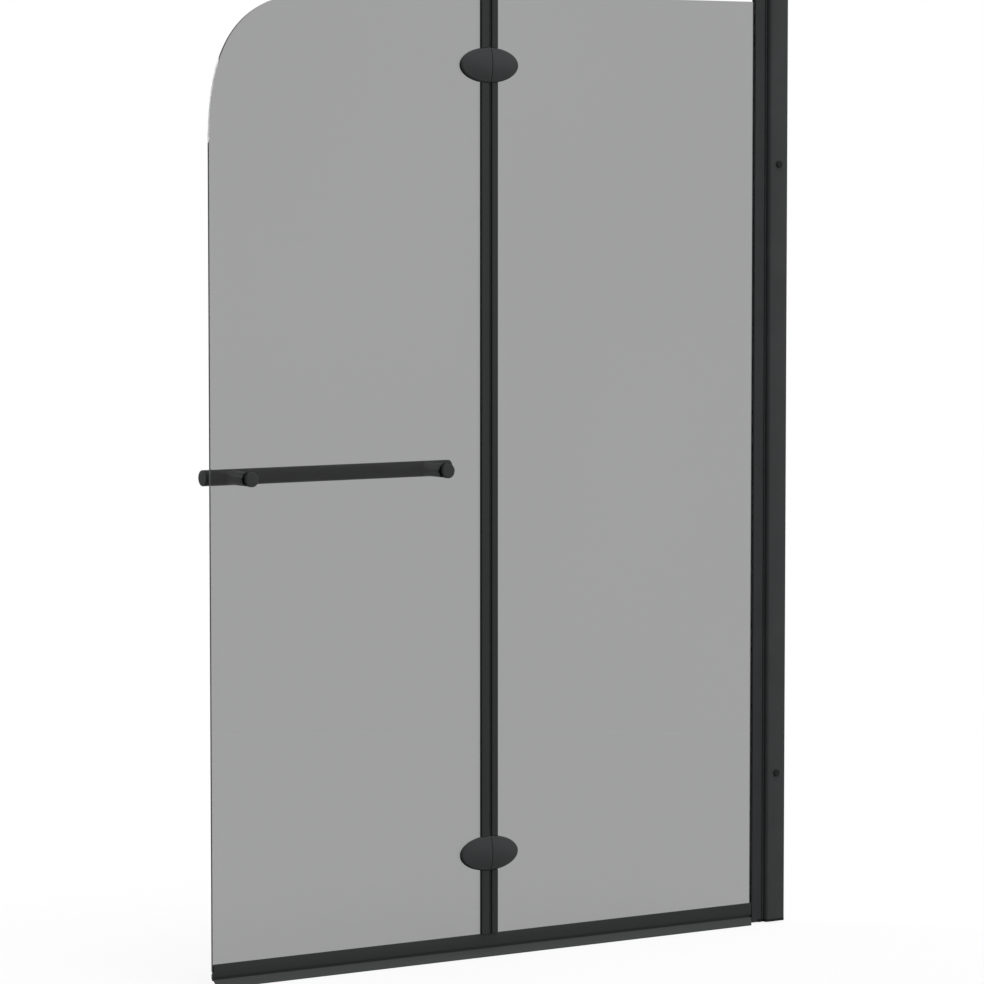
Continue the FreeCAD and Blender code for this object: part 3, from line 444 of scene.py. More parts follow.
def lathe(mesh, profile, origin, axis, steps=TURN_STEPS, closed=False):
    """A turned form.

    Each profile point is a radius, a distance along the axis and, for a hexagon, a third mark.
    """
    axis = Vector(axis)
    side = axis.orthogonal().normalized()
    other = axis.cross(side)
    rings = []
    for radius, along, *hexagon in profile:
        middle = Vector(origin) + axis * along
        if radius == 0:
            rings.append(ring(mesh, [middle]))
            continue
        points = []
        for step in range(steps):
            angle = 2 * math.pi * step / steps
            reach = radius
            if hexagon:
                reach = radius / math.cos((angle % (math.pi / 3)) - math.pi / 6)
            points.append(middle + side * reach * math.cos(angle) + other * reach * math.sin(angle))
        rings.append(ring(mesh, points))
    loft(mesh, rings, closed)


def slab(mesh, loops, half, arris):
    """A flat pane with holes: the first loop is its outline, the others are its holes."""
    step = arris * ARRIS_STEP
    edge = [
        (arris, -half),
        (step, -half + step),
        (0.0, -half + arris),
        (0.0, half - arris),
        (step, half - step),
        (arris, half),
    ]
    flats = ([], [])
    for loop in loops:
        rings = [
            ring(mesh, [(point.x, depth, point.y) for point in inset(loop, inward)])
            for inward, depth in edge
        ]
        for first, second in zip(rings, rings[1:]):
            bridge(mesh, first, second)
        flats[0].append(rings[0])
        flats[1].append(rings[-1])
    for flat in flats:
        fill(mesh, flat)


def fill(mesh, flat):
    """Triangles over a flat outline, its first ring, but not over the other rings' holes."""
    inside_only = 1
    nearness = 1e-9
    verts = [vert for loop in flat for vert in loop]
    owner = [number for number, loop in enumerate(flat) for vert in loop]
    edges = []
    for loop in flat:
        base = len(edges)
        edges += [(base + number, base + (number + 1) % len(loop)) for number in range(len(loop))]
    spots = [Vector((vert.co.x, vert.co.z)) for vert in verts]
    filled = geometry.delaunay_2d_cdt(spots, edges, [], inside_only, nearness)
    for face in filled[2]:
        corners = [filled[3][corner][0] for corner in face]
        loops_met = {owner[corner] for corner in corners}
        in_hole = len(loops_met) == 1 and 0 not in loops_met
        if not in_hole:
            mesh.faces.new([verts[corner] for corner in corners])


def oval_point(half_length, half_height, angle, step):
    """A point of an oval that is drawn in by a step all round."""
    out = Vector((math.cos(angle) / half_length, math.sin(angle) / half_height)).normalized()
    return Vector((half_length * math.cos(angle), half_height * math.sin(angle))) - out * step


def half_oval_loop(half_length, half_height, cut, step):
    """An anticlockwise loop round the part of a drawn-in oval beyond a cut."""
    halvings = 40
    low, high = 0.0, math.pi
    for halving in range(halvings):
        limit = (low + high) / 2
        if oval_point(half_length, half_height, limit, step).x > cut:
            low = limit
        else:
            high = limit
    loop = [
        oval_point(half_length, half_height, limit * (2 * number / OVAL_ARC_STEPS - 1), step)
        for number in range(OVAL_ARC_STEPS + 1)
    ]
    top = loop[-1].y
    rises = [top * (1 - 2 * number / OVAL_CUT_STEPS) for number in range(1, OVAL_CUT_STEPS)]
    return loop + [Vector((cut, rise)) for rise in rises]


def half_oval(mesh, oval, place, back, face, rounding, split_ease, crown=0.0):
    """A half-oval button between two depths with a round edge; oval is half length, half height and cut."""
    shoulder = face + crown
    stations = [(FINE_EASE, back), (0.0, back - FINE_EASE)]
    for number in range(BEND_STEPS + 1):
        angle = math.pi / 2 * number / BEND_STEPS
        stations.append((rounding * (1 - math.cos(angle)), shoulder + rounding * (1 - math.sin(angle))))
    if not crown:
        stations.append((rounding + FINE_EASE, face))
    loops = [(half_oval_loop(*oval, step), depth) for step, depth in stations]
    foot = Vector((oval[2], 0.0))
    if crown:
        rim = loops[-1][0]
        for part in CROWN_PARTS:
            loops.append(([foot + (point - foot) * part for point in rim], face + crown * part**2))
    before = set(mesh.faces)
    loft(mesh, [ring(mesh, [place(point, depth) for point in loop]) for loop, depth in loops])
    split = place(foot, face)[0]
    touch = 0.001 * MM
    edges = {edge for made in set(mesh.faces) - before for edge in made.edges}
    sharp = [
        edge
        for edge in edges
        if all(abs(vert.co.x - split) < touch for vert in edge.verts)
        and edge.calc_face_angle() > math.pi / 4
    ]
    bmesh.ops.bevel(mesh, geom=sharp, offset=split_ease, segments=3, profile=0.5, affect="EDGES")


def eased_block(mesh, low, high, width):
    """A box with rounded edges."""
    corners = [
        mesh.verts.new((x, y, z))
        for x in (low[0], high[0])
        for y in (low[1], high[1])
        for z in (low[2], high[2])
    ]
    sides = ((0, 1, 3, 2), (4, 6, 7, 5), (0, 4, 5, 1), (2, 3, 7, 6), (0, 2, 6, 4), (1, 5, 7, 3))
    faces = [mesh.faces.new([corners[number] for number in side]) for side in sides]
    edges = list({edge for face in faces for edge in face.edges})
    bmesh.ops.bevel(mesh, geom=edges, offset=width, segments=2, profile=0.5, affect="EDGES")


def recessed_screw(mesh, origin, axis, head, height, shank, reach, ease):
    """A screw whose head rises along the axis from the origin, with a hexagon recess."""
    socket = head * SOCKET_WIDTH
    depth = height * SOCKET_DEPTH
    profile = [
        (0.0, -reach),
        (shank * SCREW_TIP, -reach),
        (shank, -reach + shank * SCREW_TAPER),
        (shank, 0.0),
        (head, 0.0),
    ]
    profile += fillet(head - ease, height - ease, ease, 0, QUARTER)
    profile += [
        (socket * SOCKET_MOUTH, height),
        (socket, height - SOCKET_EDGE, True),
        (socket, height - depth, True),
        (0.0, height - depth * SOCKET_POINT),
    ]
    lathe(mesh, profile, origin, axis)


def piece(name, mesh, material, body, slot, *replaced, sharp=SHARP):
    """Turns a built mesh into a piece that rides on a body and stands for CAD nodes, if any are named."""
    bmesh.ops.recalc_face_normals(mesh, faces=mesh.faces)
    data = bpy.data.meshes.new(name)
    mesh.to_mesh(data)
    mesh.free()
    data.shade_smooth()
    data.set_sharp_from_angle(angle=math.radians(sharp))
    made = bpy.data.objects.new(name, data)
    bpy.context.scene.collection.objects.link(made)
    data.materials.append(material)
    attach(made, body)
    if replaced:
        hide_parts(*replaced)


def soft_lip(name, material, body, sizes, sides, low, high):
    """A thin upright lip between two heights that closes the narrow gap beside a seal."""
    mesh = bmesh.new()
    half = sizes.seal_lip / 2
    eased_block(mesh, (min(sides), -half, low), (max(sides), half, high), LIP_EASE)
    piece(name, mesh, material, body, "soft_seal")


def dress(node, material):
    """Gives a CAD node that stays in view its finish."""
    node = NODES[node]
    node.data.materials.clear()
    node.data.materials.append(material)


# Finishes


class Nodes:
    """Builds the node tree of a material or of the surroundings."""

    def __init__(self, owner, output):
        owner.use_nodes = True
        self.tree = owner.node_tree
        self.tree.nodes.clear()
        self.output = self.node(output)

    def node(self, kind, values=None, **settings):
        """A new node. values gives its inputs numbers, colours or links, by name or number."""
        made = self.tree.nodes.new(kind)
        for key, value in settings.items():
            setattr(made, key, value)
        for key, value in (values or {}).items():
            if isinstance(value, bpy.types.NodeSocket):
                self.tree.links.new(value, made.inputs[key])
            else:
                made.inputs[key].default_value = value
        return made

    def show(self, shader):
        """Makes a shader the one that is seen."""
        self.tree.links.new(shader, self.output.inputs["Surface"])

    def maths(self, operation, *numbers):
        """One operation on numbers or links."""
        return self.node("ShaderNodeMath", dict(enumerate(numbers)), operation=operation).outputs["Value"]

    def mixed(self, fac, first, second):
        """Two shaders mixed by a link."""
        return self.node("ShaderNodeMixShader", {"Fac": fac, 1: first, 2: second}).outputs["Shader"]

    def seen(self):
        """One for rays that show the background straight, mirrored or through glass, not for its light."""
        path = self.node("ShaderNodeLightPath").outputs
        shown = path["Is Camera Ray"]
        for name in ("Is Glossy Ray", "Is Transmission Ray"):
            shown = self.maths("MAXIMUM", shown, path[name])
        direct = self.maths("LESS_THAN", path["Diffuse Depth"], 0.5)
        return self.maths("MULTIPLY", shown, direct)


class Finish(Nodes):
    """Nodes of one procedural material."""

    def __init__(self, name):
        self.material = bpy.data.materials.new(name)
        super().__init__(self.material, "ShaderNodeOutputMaterial")
        self.coordinates = self.node("ShaderNodeTexCoord").outputs["Object"]

    def noise(self, scale, detail=3.0, stretch=None):
        """Noise in the part's own space; stretch squeezes it along each axis."""
        source = self.coordinates
        if stretch:
            mapping = self.node("ShaderNodeMapping", {"Vector": source, "Scale": stretch})
            source = mapping.outputs["Vector"]
        values = {"Vector": source, "Scale": scale, "Detail": detail}
        return self.node("ShaderNodeTexNoise", values).outputs["Fac"]

    def between(self, fac, low, high):
        """Noise spread between two numbers."""
        values = {"Value": fac, "To Min": low, "To Max": high}
        values["From Min"], values["From Max"] = NOISE_SPAN
        return self.node("ShaderNodeMapRange", values).outputs["Result"]

    def tints(self, fac, tone, dark, light):
        """Noise spread between two shades of a tone, given as its shares."""
        ramp = self.node("ShaderNodeValToRGB", {"Fac": fac})
        for element, position, factor in zip(ramp.color_ramp.elements, TINT_SPAN, (dark, light)):
            element.position = position
            element.color = (*[min(1.0, part * factor) for part in tone], 1.0)
        return ramp.outputs["Color"]

    def bump(self, height, strength, distance):
        """Relief from noise."""
        values = {"Height": height, "Strength": strength, "Distance": distance}
        return self.node("ShaderNodeBump", values).outputs["Normal"]

    def surface(self, **sockets):
        """The material with its main shader; a socket takes a number, a colour or a link."""
        values = {name.replace("_", " "): value for name, value in sockets.items()}
        self.show(self.node("ShaderNodeBsdfPrincipled", values).outputs["BSDF"])
        return self.material


def textured(name, grain, tone, roughness, gloss, stretch=None):
    """A finish with clouds in its tint, an uneven sheen and a fine relief."""
    finish = Finish(name)
    cloud = finish.noise(grain["cloud"], stretch=stretch)
    sheen = finish.noise(grain["sheen"], stretch=stretch)
    relief = finish.noise(grain["relief"], grain["detail"], stretch)
    return finish.surface(
        Base_Color=finish.tints(cloud, tone, grain["dark"], grain["light"]),
        Roughness=finish.between(sheen, roughness - grain["swing"], roughness + grain["swing"]),
        Normal=finish.bump(relief, grain["strength"], grain["height"]),
        Metallic=grain["metal"],
        Specular_IOR_Level=gloss,
    )


def tinted_glass(name, tone):
    """Grey glass with a hardly seen unevenness of tint and wipe marks."""
    finish = Finish(name)
    wipes = finish.noise(scale=7.0, detail=4.0)
    return finish.surface(
        Base_Color=finish.tints(finish.noise(scale=1.3, detail=2.0), tone, dark=0.985, light=1.02),
        Roughness=finish.between(wipes, low=0.0, high=0.012),
        IOR=1.33,
        Transmission_Weight=1.0,
        Specular_IOR_Level=0.3,
    )


def finishes(scene):
    """All finishes by name, made once. The record's slots have finishes of their own names."""
    tones = scene.bath_screen_colours
    # Kind, tone, roughness, gloss and, where it has lines, their way
    looks = {
        "profile_finish": (COAT, tones.profile, 0.5, 0.05),
        # The pivot profile's finish is the cover's coat made darker: painted shade
        "pivot_finish": (COAT, tones.pivot, 0.5, 0.05),
        "hinge_metal": (COAT, tones.hinge, 0.5, 0.0),
        "bar_metal": (COAT, tones.bar, 0.48, 0.05),
        "strip_plastic": (DRAWN, tones.strip, 0.5, 0.05, ALONG_X),
        "strip_plastic_upright": (DRAWN, tones.strip, 0.5, 0.05, ALONG_Z),
        # Lighter than the rails' plastic: painted light on the lips' up-facing slope
        "lip_plastic": (DRAWN, tones.lip, 0.48, 0.07, ALONG_X),
        "dark_plastic": (MOULDED, tones.plate, 0.55, 0.05),
        # Lighter than the fold seal: painted light in the shaded grooves and gaps this seal sits in
        "soft_seal": (MOULDED, tones.seal, 0.7, 0.04),
        "fold_seal": (MOULDED, tones.fold_seal, 0.7, 0.02),
        # The end caps' finish is lighter than the bar's own coat: painted light on their left-facing ends
        "bar_cap": (MOULDED, tones.bar_cap, 0.5, 0.05),
        "nylon": (MOULDED, tones.nylon, 0.5, 0.1),
        "steel": (BARE, tones.steel, 0.32, 0.5),
        "plain_aluminium": (BARE, tones.aluminium, 0.38, 0.5, ALONG_Z),
    }
    own = {name: f"screen_{name}" for name in ("tinted_glass", *looks)}
    made = {name: bpy.data.materials.get(own[name]) for name in own}
    if not made["tinted_glass"]:
        made = {name: textured(own[name], *look) for name, look in looks.items()}
        made["tinted_glass"] = tinted_glass(own["tinted_glass"], tones.glass)
    return made


def kit(scene):
    """The sizes and the finishes that pieces are made from."""
    return scene.bath_screen_sizes, finishes(scene)


# Pieces


def clamp_places(sign, sizes):
    """Where one panel's clamping screws sit, across and up."""
    across = FOLD_X + sign * sizes.screw_from_fold
    return [(across, HINGE_Z[level] + way * sizes.screw_rise) for level in LEVELS for way in (-1, 1)]


def pane_outline(side, sizes):
    """A pane's outline. The outer one bends round from its top edge down to its free edge."""
    low, high = PANE_BOX[side]
    nick = sizes.pane_corner
    corners = [(low.x, low.z, nick), (high.x, low.z, nick), (high.x, high.z, nick)]
    if side == "inner":
        return rounded(corners + [(low.x, high.z, nick)])
    reach = sizes.corner_reach
    stop = reach * (1 - sizes.corner_share)
    knots = [
        Vector((low.x + reach, high.z)),
        Vector((low.x + stop, high.z)),
        Vector((low.x, high.z - stop)),
        Vector((low.x, high.z - reach)),
    ]
    straight = rounded(corners + [(low.x, high.z, 0)])[:-1]
    return straight + [point.copy() for point in geometry.interpolate_bezier(*knots, CORNER_POINTS)]


class BATHSCREEN_OT_panes(bpy.types.Operator):
    """Build both panes with ground edges, drilled holes and the round top corner"""

    bl_idname = "bath_screen.panes"
    bl_label = "Panes"

    def execute(self, context):
        sizes, made = kit(context.scene)
        for side, sign in SIDES.items():
            low, high = PANE_BOX[side]
            loops = [pane_outline(side, sizes)]
            loops += [circle(*place, sizes.hinge_hole) for place in clamp_places(sign, sizes)]
            if side == "outer":
                loops += [circle(place, BAR_Z, sizes.bar_hole) for place in POST_X.values()]
            mesh = bmesh.new()
            slab(mesh, loops, (high.y - low.y) / 2, sizes.arris)
            look = (made["tinted_glass"], f"{side}_panel", "tinted_glass")
            piece(f"{side}_pane", mesh, *look, f"{side}_glass", sharp=PANE_SHARP)
        return {"FINISHED"}


def wall_cover(sizes, coat_finish):
    """C-shaped cover, open to the wall, with round front corners."""
    low, high = CHANNEL_BOX
    wall = sizes.cover_wall
    corner = sizes.cover_corner
    section = rounded(
        [
            (high.x, low.y, EDGE_EASE),
            (high.x, low.y + wall, EDGE_EASE),
            (low.x + wall, low.y + wall, corner - wall),
            (low.x + wall, high.y - wall, corner - wall),
            (high.x, high.y - wall, EDGE_EASE),
            (high.x, high.y, EDGE_EASE),
            (low.x, high.y, corner),
            (low.x, low.y, corner),
        ],
        BEND_STEPS,
    )
    mesh = bmesh.new()
    sweep(mesh, section, lambda point, along: (point.x, point.y, along), low.z, high.z)
    piece("wall_cover", mesh, coat_finish, "wall_frame", "profile_finish", "cover_profile")


def lock_caps(sizes, plastic):
    """Two round caps over the lock screws."""
    low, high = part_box("lock_screw_caps")
    radius = (high.x - low.x) / 2
    profile = [(0.0, 0.0)]
    profile += button(radius, high.y - low.y, sizes.cap_rounding, FOOT_EASE, CAP_BEND, CAP_FLAT)
    mesh = bmesh.new()
    for middle in (low.z + radius, high.z - radius):
        lathe(mesh, profile, ((low.x + high.x) / 2, high.y, middle), (0, -1, 0))
    piece("lock_caps", mesh, plastic, "wall_frame", "dark_plastic", "lock_screw_caps")


def plate_screws(sizes, steel):
    """Four sunk screws in the end plates."""
    low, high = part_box("plate_screws")
    head = sizes.plate_head
    height = sizes.plate_head_height
    form = (head, height, sizes.plate_shank, sizes.plate_reach, FINE_EASE)
    mesh = bmesh.new()
    for across in (low.y + head, high.y - head):
        for face, way in ((low.z, -1), (high.z, 1)):
            origin = ((low.x + high.x) / 2, across, face - way * height)
            recessed_screw(mesh, origin, (0, 0, way), *form)
    piece("end_plate_screws", mesh, steel, "wall_frame", "steel", "plate_screws")


class BATHSCREEN_OT_wall_profiles(bpy.types.Operator):
    """Build the wall cover, lock caps and plate screws, and finish the pivot profile, plates and seals"""

    bl_idname = "bath_screen.wall_profiles"
    bl_label = "Wall profiles"

    def execute(self, context):
        sizes, made = kit(context.scene)
        wall_cover(sizes, made["profile_finish"])
        lock_caps(sizes, made["dark_plastic"])
        dress("pivot_profile", made["pivot_finish"])
        for end in ("bottom", "top"):
            dress(f"pivot_plate_{end}", made["dark_plastic"])
            dress(f"pivot_pin_{end}", made["steel"])
            dress(f"pivot_bush_{end}", made["nylon"])
        dress("wall_channel", made["plain_aluminium"])
        dress("lock_screws", made["steel"])
        dress("pivot_seal", made["soft_seal"])
        dress("glazing_gasket", made["soft_seal"])
        plate_screws(sizes, made["steel"])
        low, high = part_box("pivot_seal")
        sides = (low.x - sizes.seal_reach, low.x + sizes.seal_lip / 2)
        soft_lip("pivot_seal_lip", made["soft_seal"], "wall_frame", sizes, sides, low.z, high.z)
        return {"FINISHED"}


def rail_ends(side, low, high, sizes):
    """Both ends of a rail or lip, with the joint at the fold nearly closed."""
    if side == "outer":
        return low.x, high.x + sizes.joint_reach
    return low.x - sizes.joint_reach, high.x


def bottom_rail(side, sizes, plastic):
    """Clip-on rail with a waist on its back and a groove under its front face."""
    low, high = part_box(f"{side}_rail")
    half = PANE_BOX[side][1].y
    foot = PANE_BOX[side][0].z
    ease = sizes.rail_ease
    chamfer = sizes.rail_chamfer
    groove = low.y + sizes.groove_depth
    groove_top = low.z + sizes.groove_height
    waist = high.y - sizes.waist_depth
    back_top = high.z - sizes.rail_drop
    section = rounded(
        [
            (low.y, high.z, sizes.rail_edge),
            (low.y, groove_top, ease),
            (groove, groove_top, ease),
            (groove, low.z, 0),
            (high.y - chamfer, low.z, ease),
            (high.y, low.z + chamfer, ease),
            (high.y, sizes.waist_foot, ease),
            (waist, sizes.waist_foot + sizes.waist_slope, ease),
            (waist, sizes.waist_head - sizes.waist_slope, ease),
            (high.y, sizes.waist_head, ease),
            (high.y, back_top, ease),
            (half, back_top, FOOT_EASE),
            (half, foot, 0),
            (-half, foot, 0),
            (-half, high.z, FOOT_EASE),
        ],
        RAIL_STEPS,
    )
    mesh = bmesh.new()
    start, stop = rail_ends(side, low, high, sizes)
    sweep(mesh, section, lambda point, along: (along, point.x, point.y), start, stop)
    piece(f"{side}_bottom_rail", mesh, plastic, f"{side}_panel", "strip_plastic", f"{side}_rail")


def drip_lip(side, sizes, plastic):
    """Soft blade that slopes out from under the rail; the inner one is mitred at the profile."""
    low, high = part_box(f"{side}_drip_lip")
    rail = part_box(f"{side}_rail")[0]
    mitre = sizes.lip_mitre if side == "inner" else 0.0

    def place(point, along):
        out = max(0.0, rail.y - point.x) / (rail.y - low.y)
        gone = (along - low.x) / (high.x - low.x)
        return (along - mitre * out * gone, point.x, point.y)

    root = sizes.lip_root
    tip = sizes.lip_tip
    section = rounded(
        [
            (rail.y, high.z, EDGE_EASE),
            (low.y, low.z + tip, EDGE_EASE),
            (low.y, low.z, FINE_EASE),
            (low.y + tip, low.z, FINE_EASE),
            (rail.y + root, high.z - root, sizes.lip_bend),
            (high.y, high.z - root, FINE_EASE),
            (high.y, high.z, 0),
        ],
        RAIL_STEPS,
    )
    mesh = bmesh.new()
    start, stop = rail_ends(side, low, high, sizes)
    sweep(mesh, section, place, start, stop)
    piece(f"{side}_lip", mesh, plastic, f"{side}_panel", "lip_plastic", f"{side}_drip_lip")


class BATHSCREEN_OT_rails(bpy.types.Operator):
    """Build the bottom rails and their drip lips"""

    bl_idname = "bath_screen.rails"
    bl_label = "Rails and drip lips"

    def execute(self, context):
        sizes, made = kit(context.scene)
        for side in SIDES:
            bottom_rail(side, sizes, made["strip_plastic"])
            drip_lip(side, sizes, made["lip_plastic"])
        return {"FINISHED"}


class BATHSCREEN_OT_fold_strips(bpy.types.Operator):
    """Finish the strips and seals along the fold and build the seals' lips"""

    bl_idname = "bath_screen.fold_strips"
    bl_label = "Fold strips"

    def execute(self, context):
        sizes, made = kit(context.scene)
        for place in PLACES:
            for side in SIDES:
                dress(f"{side}_fold_strip_{place}", made["strip_plastic_upright"])
            dress(f"fold_seal_{place}", made["fold_seal"])
            low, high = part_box(f"fold_seal_{place}")
            sides = (high.x - sizes.seal_lip / 2, high.x + sizes.seal_reach)
            soft_lip(f"fold_lip_{place}", made["fold_seal"], "outer_panel", sizes, sides, low.z, high.z)
        return {"FINISHED"}


def oval_cover(side, sign, level, sizes, metal):
    """One half of the round-edged oval on the viewer's side."""
    low, high = COVER_BOX[side, level]
    middle = HINGE_Z[level]
    ends = (COVER_BOX["outer", level][0].x, COVER_BOX["inner", level][1].x)
    centre = sum(ends) / 2
    split = high.x if side == "outer" else low.x

    def place(point, along):
        return (centre + sign * point.x, along, middle + point.y)

    mesh = bmesh.new()
    oval = (ends[1] - centre, (high.z - low.z) / 2, (split - centre) * sign)
    bends = (sizes.oval_rounding, sizes.split_rounding, sizes.oval_crown)
    half_oval(mesh, oval, place, high.y, low.y, *bends)
    replaced = f"{side}_hinge_cover_{level}"
    piece(f"{side}_oval_{level}", mesh, metal, f"{side}_panel", "hinge_metal", replaced)


def hinge_leaf(side, sign, level, sizes, metal):
    """The far-side leaf: an eased half-oval plate, arms and knuckles."""
    low, high = LEAF_BOX[side, level]
    middle = HINGE_Z[level]
    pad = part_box(f"{side}_hinge_pad_back_{level}")
    half_length = max(high.x - FOLD_X, FOLD_X - low.x)
    near = min(abs(pad[0].x - FOLD_X), abs(pad[1].x - FOLD_X))
    half_height = (high.z - low.z) / 2
    radius = sizes.knuckle_radius
    axis_y = high.y - radius
    outer_face = axis_y - sizes.leaf_sink

    def place(point, along):
        return (FOLD_X + sign * point.x, -along, middle + point.y)

    mesh = bmesh.new()
    oval = (half_length, half_height, near)
    half_oval(mesh, oval, place, -low.y, -outer_face, sizes.leaf_rounding, sizes.leaf_rounding)
    inner_end = sizes.knuckle_length / 2
    spans = [(-inner_end, inner_end)]
    if side == "inner":
        inner_end += sizes.knuckle_gap
        spans = [(-half_height, -inner_end), (inner_end, half_height)]
    ends = sorted((FOLD_X, FOLD_X + sign * (near + sizes.arm_overlap)))
    for bottom, top in spans:
        near_corner = (ends[0], low.y + sizes.arm_lift, middle + bottom)
        eased_block(mesh, near_corner, (ends[1], outer_face, middle + top), EDGE_EASE)
        profile = pipe(sizes.knuckle_bore, radius, bottom, top, EDGE_EASE)
        lathe(mesh, profile, (FOLD_X, axis_y, middle), (0, 0, 1), closed=True)
    replaced = f"{side}_hinge_leaf_{level}"
    piece(f"{side}_leaf_{level}", mesh, metal, f"{side}_panel", "hinge_metal", replaced)


def clamp_screws(side, sign, sizes, steel):
    """Four clamping screws from the far side."""
    low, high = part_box(f"{side}_hinge_screws")
    height = sizes.hinge_head_height
    foot = high.y - height
    form = (sizes.hinge_head, height, sizes.hinge_shank, foot - low.y, sizes.hinge_head_rounding)
    mesh = bmesh.new()
    for across, up in clamp_places(sign, sizes):
        recessed_screw(mesh, (across, foot, up), (0, 1, 0), *form)
    piece(f"{side}_clamp_screws", mesh, steel, f"{side}_panel", "steel", f"{side}_hinge_screws")


class BATHSCREEN_OT_hinges(bpy.types.Operator):
    """Build the oval covers, the leaves with their knuckles and the clamping screws"""

    bl_idname = "bath_screen.hinges"
    bl_label = "Fold hinges"

    def execute(self, context):
        sizes, made = kit(context.scene)
        for side, sign in SIDES.items():
            for level in LEVELS:
                oval_cover(side, sign, level, sizes, made["hinge_metal"])
                hinge_leaf(side, sign, level, sizes, made["hinge_metal"])
                for face in ("front", "back"):
                    dress(f"{side}_hinge_pad_{face}_{level}", made["soft_seal"])
            clamp_screws(side, sign, sizes, made["steel"])
        for level in LEVELS:
            dress(f"hinge_pin_{level}", made["steel"])
        return {"FINISHED"}


def bar_tube(sizes, metal):
    """The tube of the bar."""
    low, high = BAR_BOX
    radius = (high.z - low.z) / 2
    profile = pipe(radius - sizes.bar_wall, radius, low.x, high.x, FINE_EASE)
    mesh = bmesh.new()
    lathe(mesh, profile, (0, BAR_Y, BAR_Z), (1, 0, 0), BAR_STEPS, closed=True)
    piece("bar_tube", mesh, metal, "outer_panel", "bar_metal", "towel_bar")


def bar_end_cap(side, sign, sizes, plastic):
    """Pressed-in cap with a rounded face and a fine seam against the tube."""
    low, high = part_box(f"bar_end_cap_{side}")
    radius = (high.z - low.z) / 2
    tube_end = BAR_BOX[0].x if sign < 0 else BAR_BOX[1].x
    face = low.x if sign < 0 else high.x
    plug_end = high.x if sign < 0 else low.x
    depth = abs(plug_end - tube_end)
    plug = radius - sizes.bar_wall - PLUG_GAP
    profile = [(0.0, -depth), (plug, -depth), (plug, 0.0)]
    profile += button(radius, abs(face - tube_end), sizes.bar_rounding, FINE_EASE)
    mesh = bmesh.new()
    lathe(mesh, profile, (tube_end, BAR_Y, BAR_Z), (sign, 0, 0), BAR_STEPS)
    piece(f"bar_cap_{side}", mesh, plastic, "outer_panel", "dark_plastic", f"bar_end_cap_{side}")


def bar_post(side, sizes, metal):
    """Round post from the pane into the bar."""
    low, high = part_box(f"bar_post_{side}")
    radius = (high.x - low.x) / 2
    ease = sizes.post_ease
    profile = [(0.0, low.y), (radius - ease, low.y), (radius, low.y + ease)]
    profile += [(radius, BAR_Y), (0.0, BAR_Y)]
    mesh = bmesh.new()
    lathe(mesh, profile, (POST_X[side], 0, BAR_Z), (0, 1, 0), POST_STEPS)
    piece(f"post_{side}", mesh, metal, "outer_panel", "bar_metal", f"bar_post_{side}")


def bar_knob(side, sizes, metal):
    """Round knob on the viewer's side."""
    low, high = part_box(f"bar_knob_{side}")
    radius = (high.x - low.x) / 2
    profile = [(0.0, 0.0)] + button(radius, high.y - low.y, sizes.knob_rounding, EDGE_EASE)
    mesh = bmesh.new()
    lathe(mesh, profile, (POST_X[side], high.y, BAR_Z), (0, -1, 0), POST_STEPS)
    piece(f"knob_{side}", mesh, metal, "outer_panel", "bar_metal", f"bar_knob_{side}")


class BATHSCREEN_OT_towel_bar(bpy.types.Operator):
    """Build the towel bar with its end caps, posts and knobs"""

    bl_idname = "bath_screen.towel_bar"
    bl_label = "Towel bar"

    def execute(self, context):
        sizes, made = kit(context.scene)
        bar_tube(sizes, made["bar_metal"])
        for side, sign in SIDES.items():
            bar_end_cap(side, sign, sizes, made["bar_cap"])
            bar_post(side, sizes, made["bar_metal"])
            bar_knob(side, sizes, made["bar_metal"])
        dress("bar_studs", made["steel"])
        dress("bar_washers", made["soft_seal"])
        return {"FINISHED"}


# Stage


def lay_floor(scene):
    """A wide disc that keeps a soft shadow near the part and is plain white further out."""
    mesh = bmesh.new()
    bmesh.ops.create_circle(mesh, cap_ends=True, segments=FLOOR_SIDES, radius=FLOOR_RADIUS)
    data = bpy.data.meshes.new("floor")
    mesh.to_mesh(data)
    mesh.free()
    ground = bpy.data.objects.new("floor", data)
    ground.location = FLOOR_MIDDLE
    ground.visible_diffuse = False
    scene.collection.objects.link(ground)
    finish = Finish("floor")
    tint = finish.tints(finish.noise(scale=2.0), scene.bath_screen_colours.floor, dark=0.99, light=1.0)
    shade = finish.node("ShaderNodeBsdfDiffuse", {"Color": tint})
    glow = finish.node("ShaderNodeEmission")
    reach = finish.node("ShaderNodeVectorMath", {0: finish.coordinates}, operation="LENGTH")
    values = {"Value": reach.outputs["Value"], **FLOOR_FADE}
    fade = finish.node("ShaderNodeMapRange", values, interpolation_type="SMOOTHSTEP")
    white = finish.maths("MULTIPLY", finish.seen(), fade.outputs["Result"])
    finish.show(finish.mixed(white, shade.outputs["BSDF"], glow.outputs["Emission"]))
    data.materials.append(finish.material)


def hang_lights(scene, settings):
    """Round soft lights that all face the part."""
    for name, (place, size) in LAMPS.items():
        data = bpy.data.lights.new(f"{name}_light", "AREA")
        data.shape = "DISK"
        data.size = size
        data.energy = getattr(settings, f"{name}_power")
        lamp = bpy.data.objects.new(f"{name}_light", data)
        lamp.location = place
        lamp.rotation_euler = (LAMP_AIM - place).to_track_quat("-Z", "Y").to_euler()
        lamp.visible_camera = False
        lamp.visible_transmission = False
        scene.collection.objects.link(lamp)


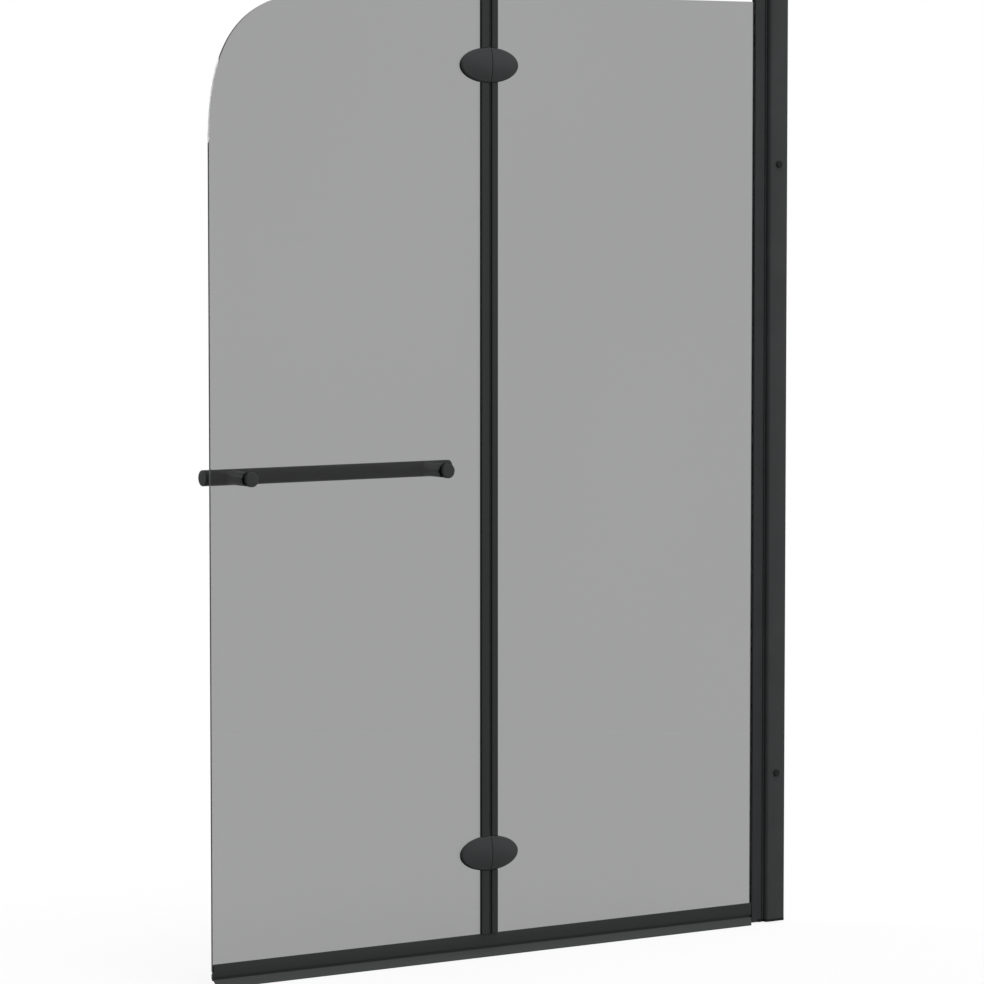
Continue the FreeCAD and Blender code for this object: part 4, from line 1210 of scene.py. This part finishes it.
def paint_surroundings(scene, settings):
    """White where the background is seen, and a soft light that is stronger on one side."""
    world = bpy.data.worlds.new("white_room")
    room = Nodes(world, "ShaderNodeOutputWorld")
    way = room.node("ShaderNodeTexCoord").outputs["Generated"]
    facing = room.node("ShaderNodeVectorMath", {0: way, 1: settings.sky_side}, operation="DOT_PRODUCT")
    slope = room.maths("MULTIPLY_ADD", facing.outputs["Value"], settings.sky_slope, settings.sky_strength)
    values = {"Color": WHITE, "Strength": room.maths("MAXIMUM", slope, 0.0)}
    soft = room.node("ShaderNodeBackground", values).outputs["Background"]
    plain = room.node("ShaderNodeBackground", {"Color": WHITE}).outputs["Background"]
    room.show(room.mixed(room.seen(), soft, plain))
    scene.world = world


def place_camera(scene, settings):
    """The camera that sees the screen as the photo does."""
    data = bpy.data.cameras.new("camera")
    data.sensor_width = SENSOR_WIDTH
    data.lens = settings.lens
    data.clip_end = CLIP_END
    camera = bpy.data.objects.new("camera", data)
    camera.location = settings.camera_place
    camera.rotation_euler = (math.pi / 2 - settings.camera_dip, 0.0, -settings.camera_turn)
    scene.collection.objects.link(camera)
    scene.camera = camera


class BATHSCREEN_OT_stage(bpy.types.Operator):
    """Make the floor, the soft lights, the white surroundings and the camera"""

    bl_idname = "bath_screen.stage"
    bl_label = "Stage"

    def execute(self, context):
        scene = context.scene
        settings = scene.bath_screen_stage
        lay_floor(scene)
        hang_lights(scene, settings)
        paint_surroundings(scene, settings)
        place_camera(scene, settings)
        scene.view_settings.view_transform = "Standard"
        return {"FINISHED"}


class BATHSCREEN_PT_sidebar(bpy.types.Panel):
    """Lists the pieces and their settings"""

    bl_idname = "BATHSCREEN_PT_sidebar"
    bl_label = "Bath screen"
    bl_space_type = "VIEW_3D"
    bl_region_type = "UI"
    bl_category = "Bath screen"

    def draw(self, context):
        layout = self.layout
        for group in SETTINGS:
            box = layout.box()
            settings = getattr(context.scene, group)
            for name in SETTINGS[group].__annotations__:
                box.prop(settings, name)
        for operator in OPERATORS:
            layout.operator(operator.bl_idname)


SETTINGS = {
    "bath_screen_sizes": ScreenSizes,
    "bath_screen_colours": ScreenColours,
    "bath_screen_stage": StageSettings,
}
OPERATORS = (
    BATHSCREEN_OT_panes,
    BATHSCREEN_OT_wall_profiles,
    BATHSCREEN_OT_rails,
    BATHSCREEN_OT_fold_strips,
    BATHSCREEN_OT_hinges,
    BATHSCREEN_OT_towel_bar,
    BATHSCREEN_OT_stage,
)
CLASSES = (*SETTINGS.values(), *OPERATORS, BATHSCREEN_PT_sidebar)


def register():
    for item in CLASSES:
        bpy.utils.register_class(item)
    for name, group in SETTINGS.items():
        setattr(bpy.types.Scene, name, PointerProperty(type=group))


def unregister():
    for name in SETTINGS:
        delattr(bpy.types.Scene, name)
    for item in reversed(CLASSES):
        bpy.utils.unregister_class(item)


def main():
    register()
    bpy.ops.bath_screen.panes()
    bpy.ops.bath_screen.wall_profiles()
    bpy.ops.bath_screen.rails()
    bpy.ops.bath_screen.fold_strips()
    bpy.ops.bath_screen.hinges()
    bpy.ops.bath_screen.towel_bar()
    bpy.ops.bath_screen.stage()


if __name__ == "__main__":
    main()
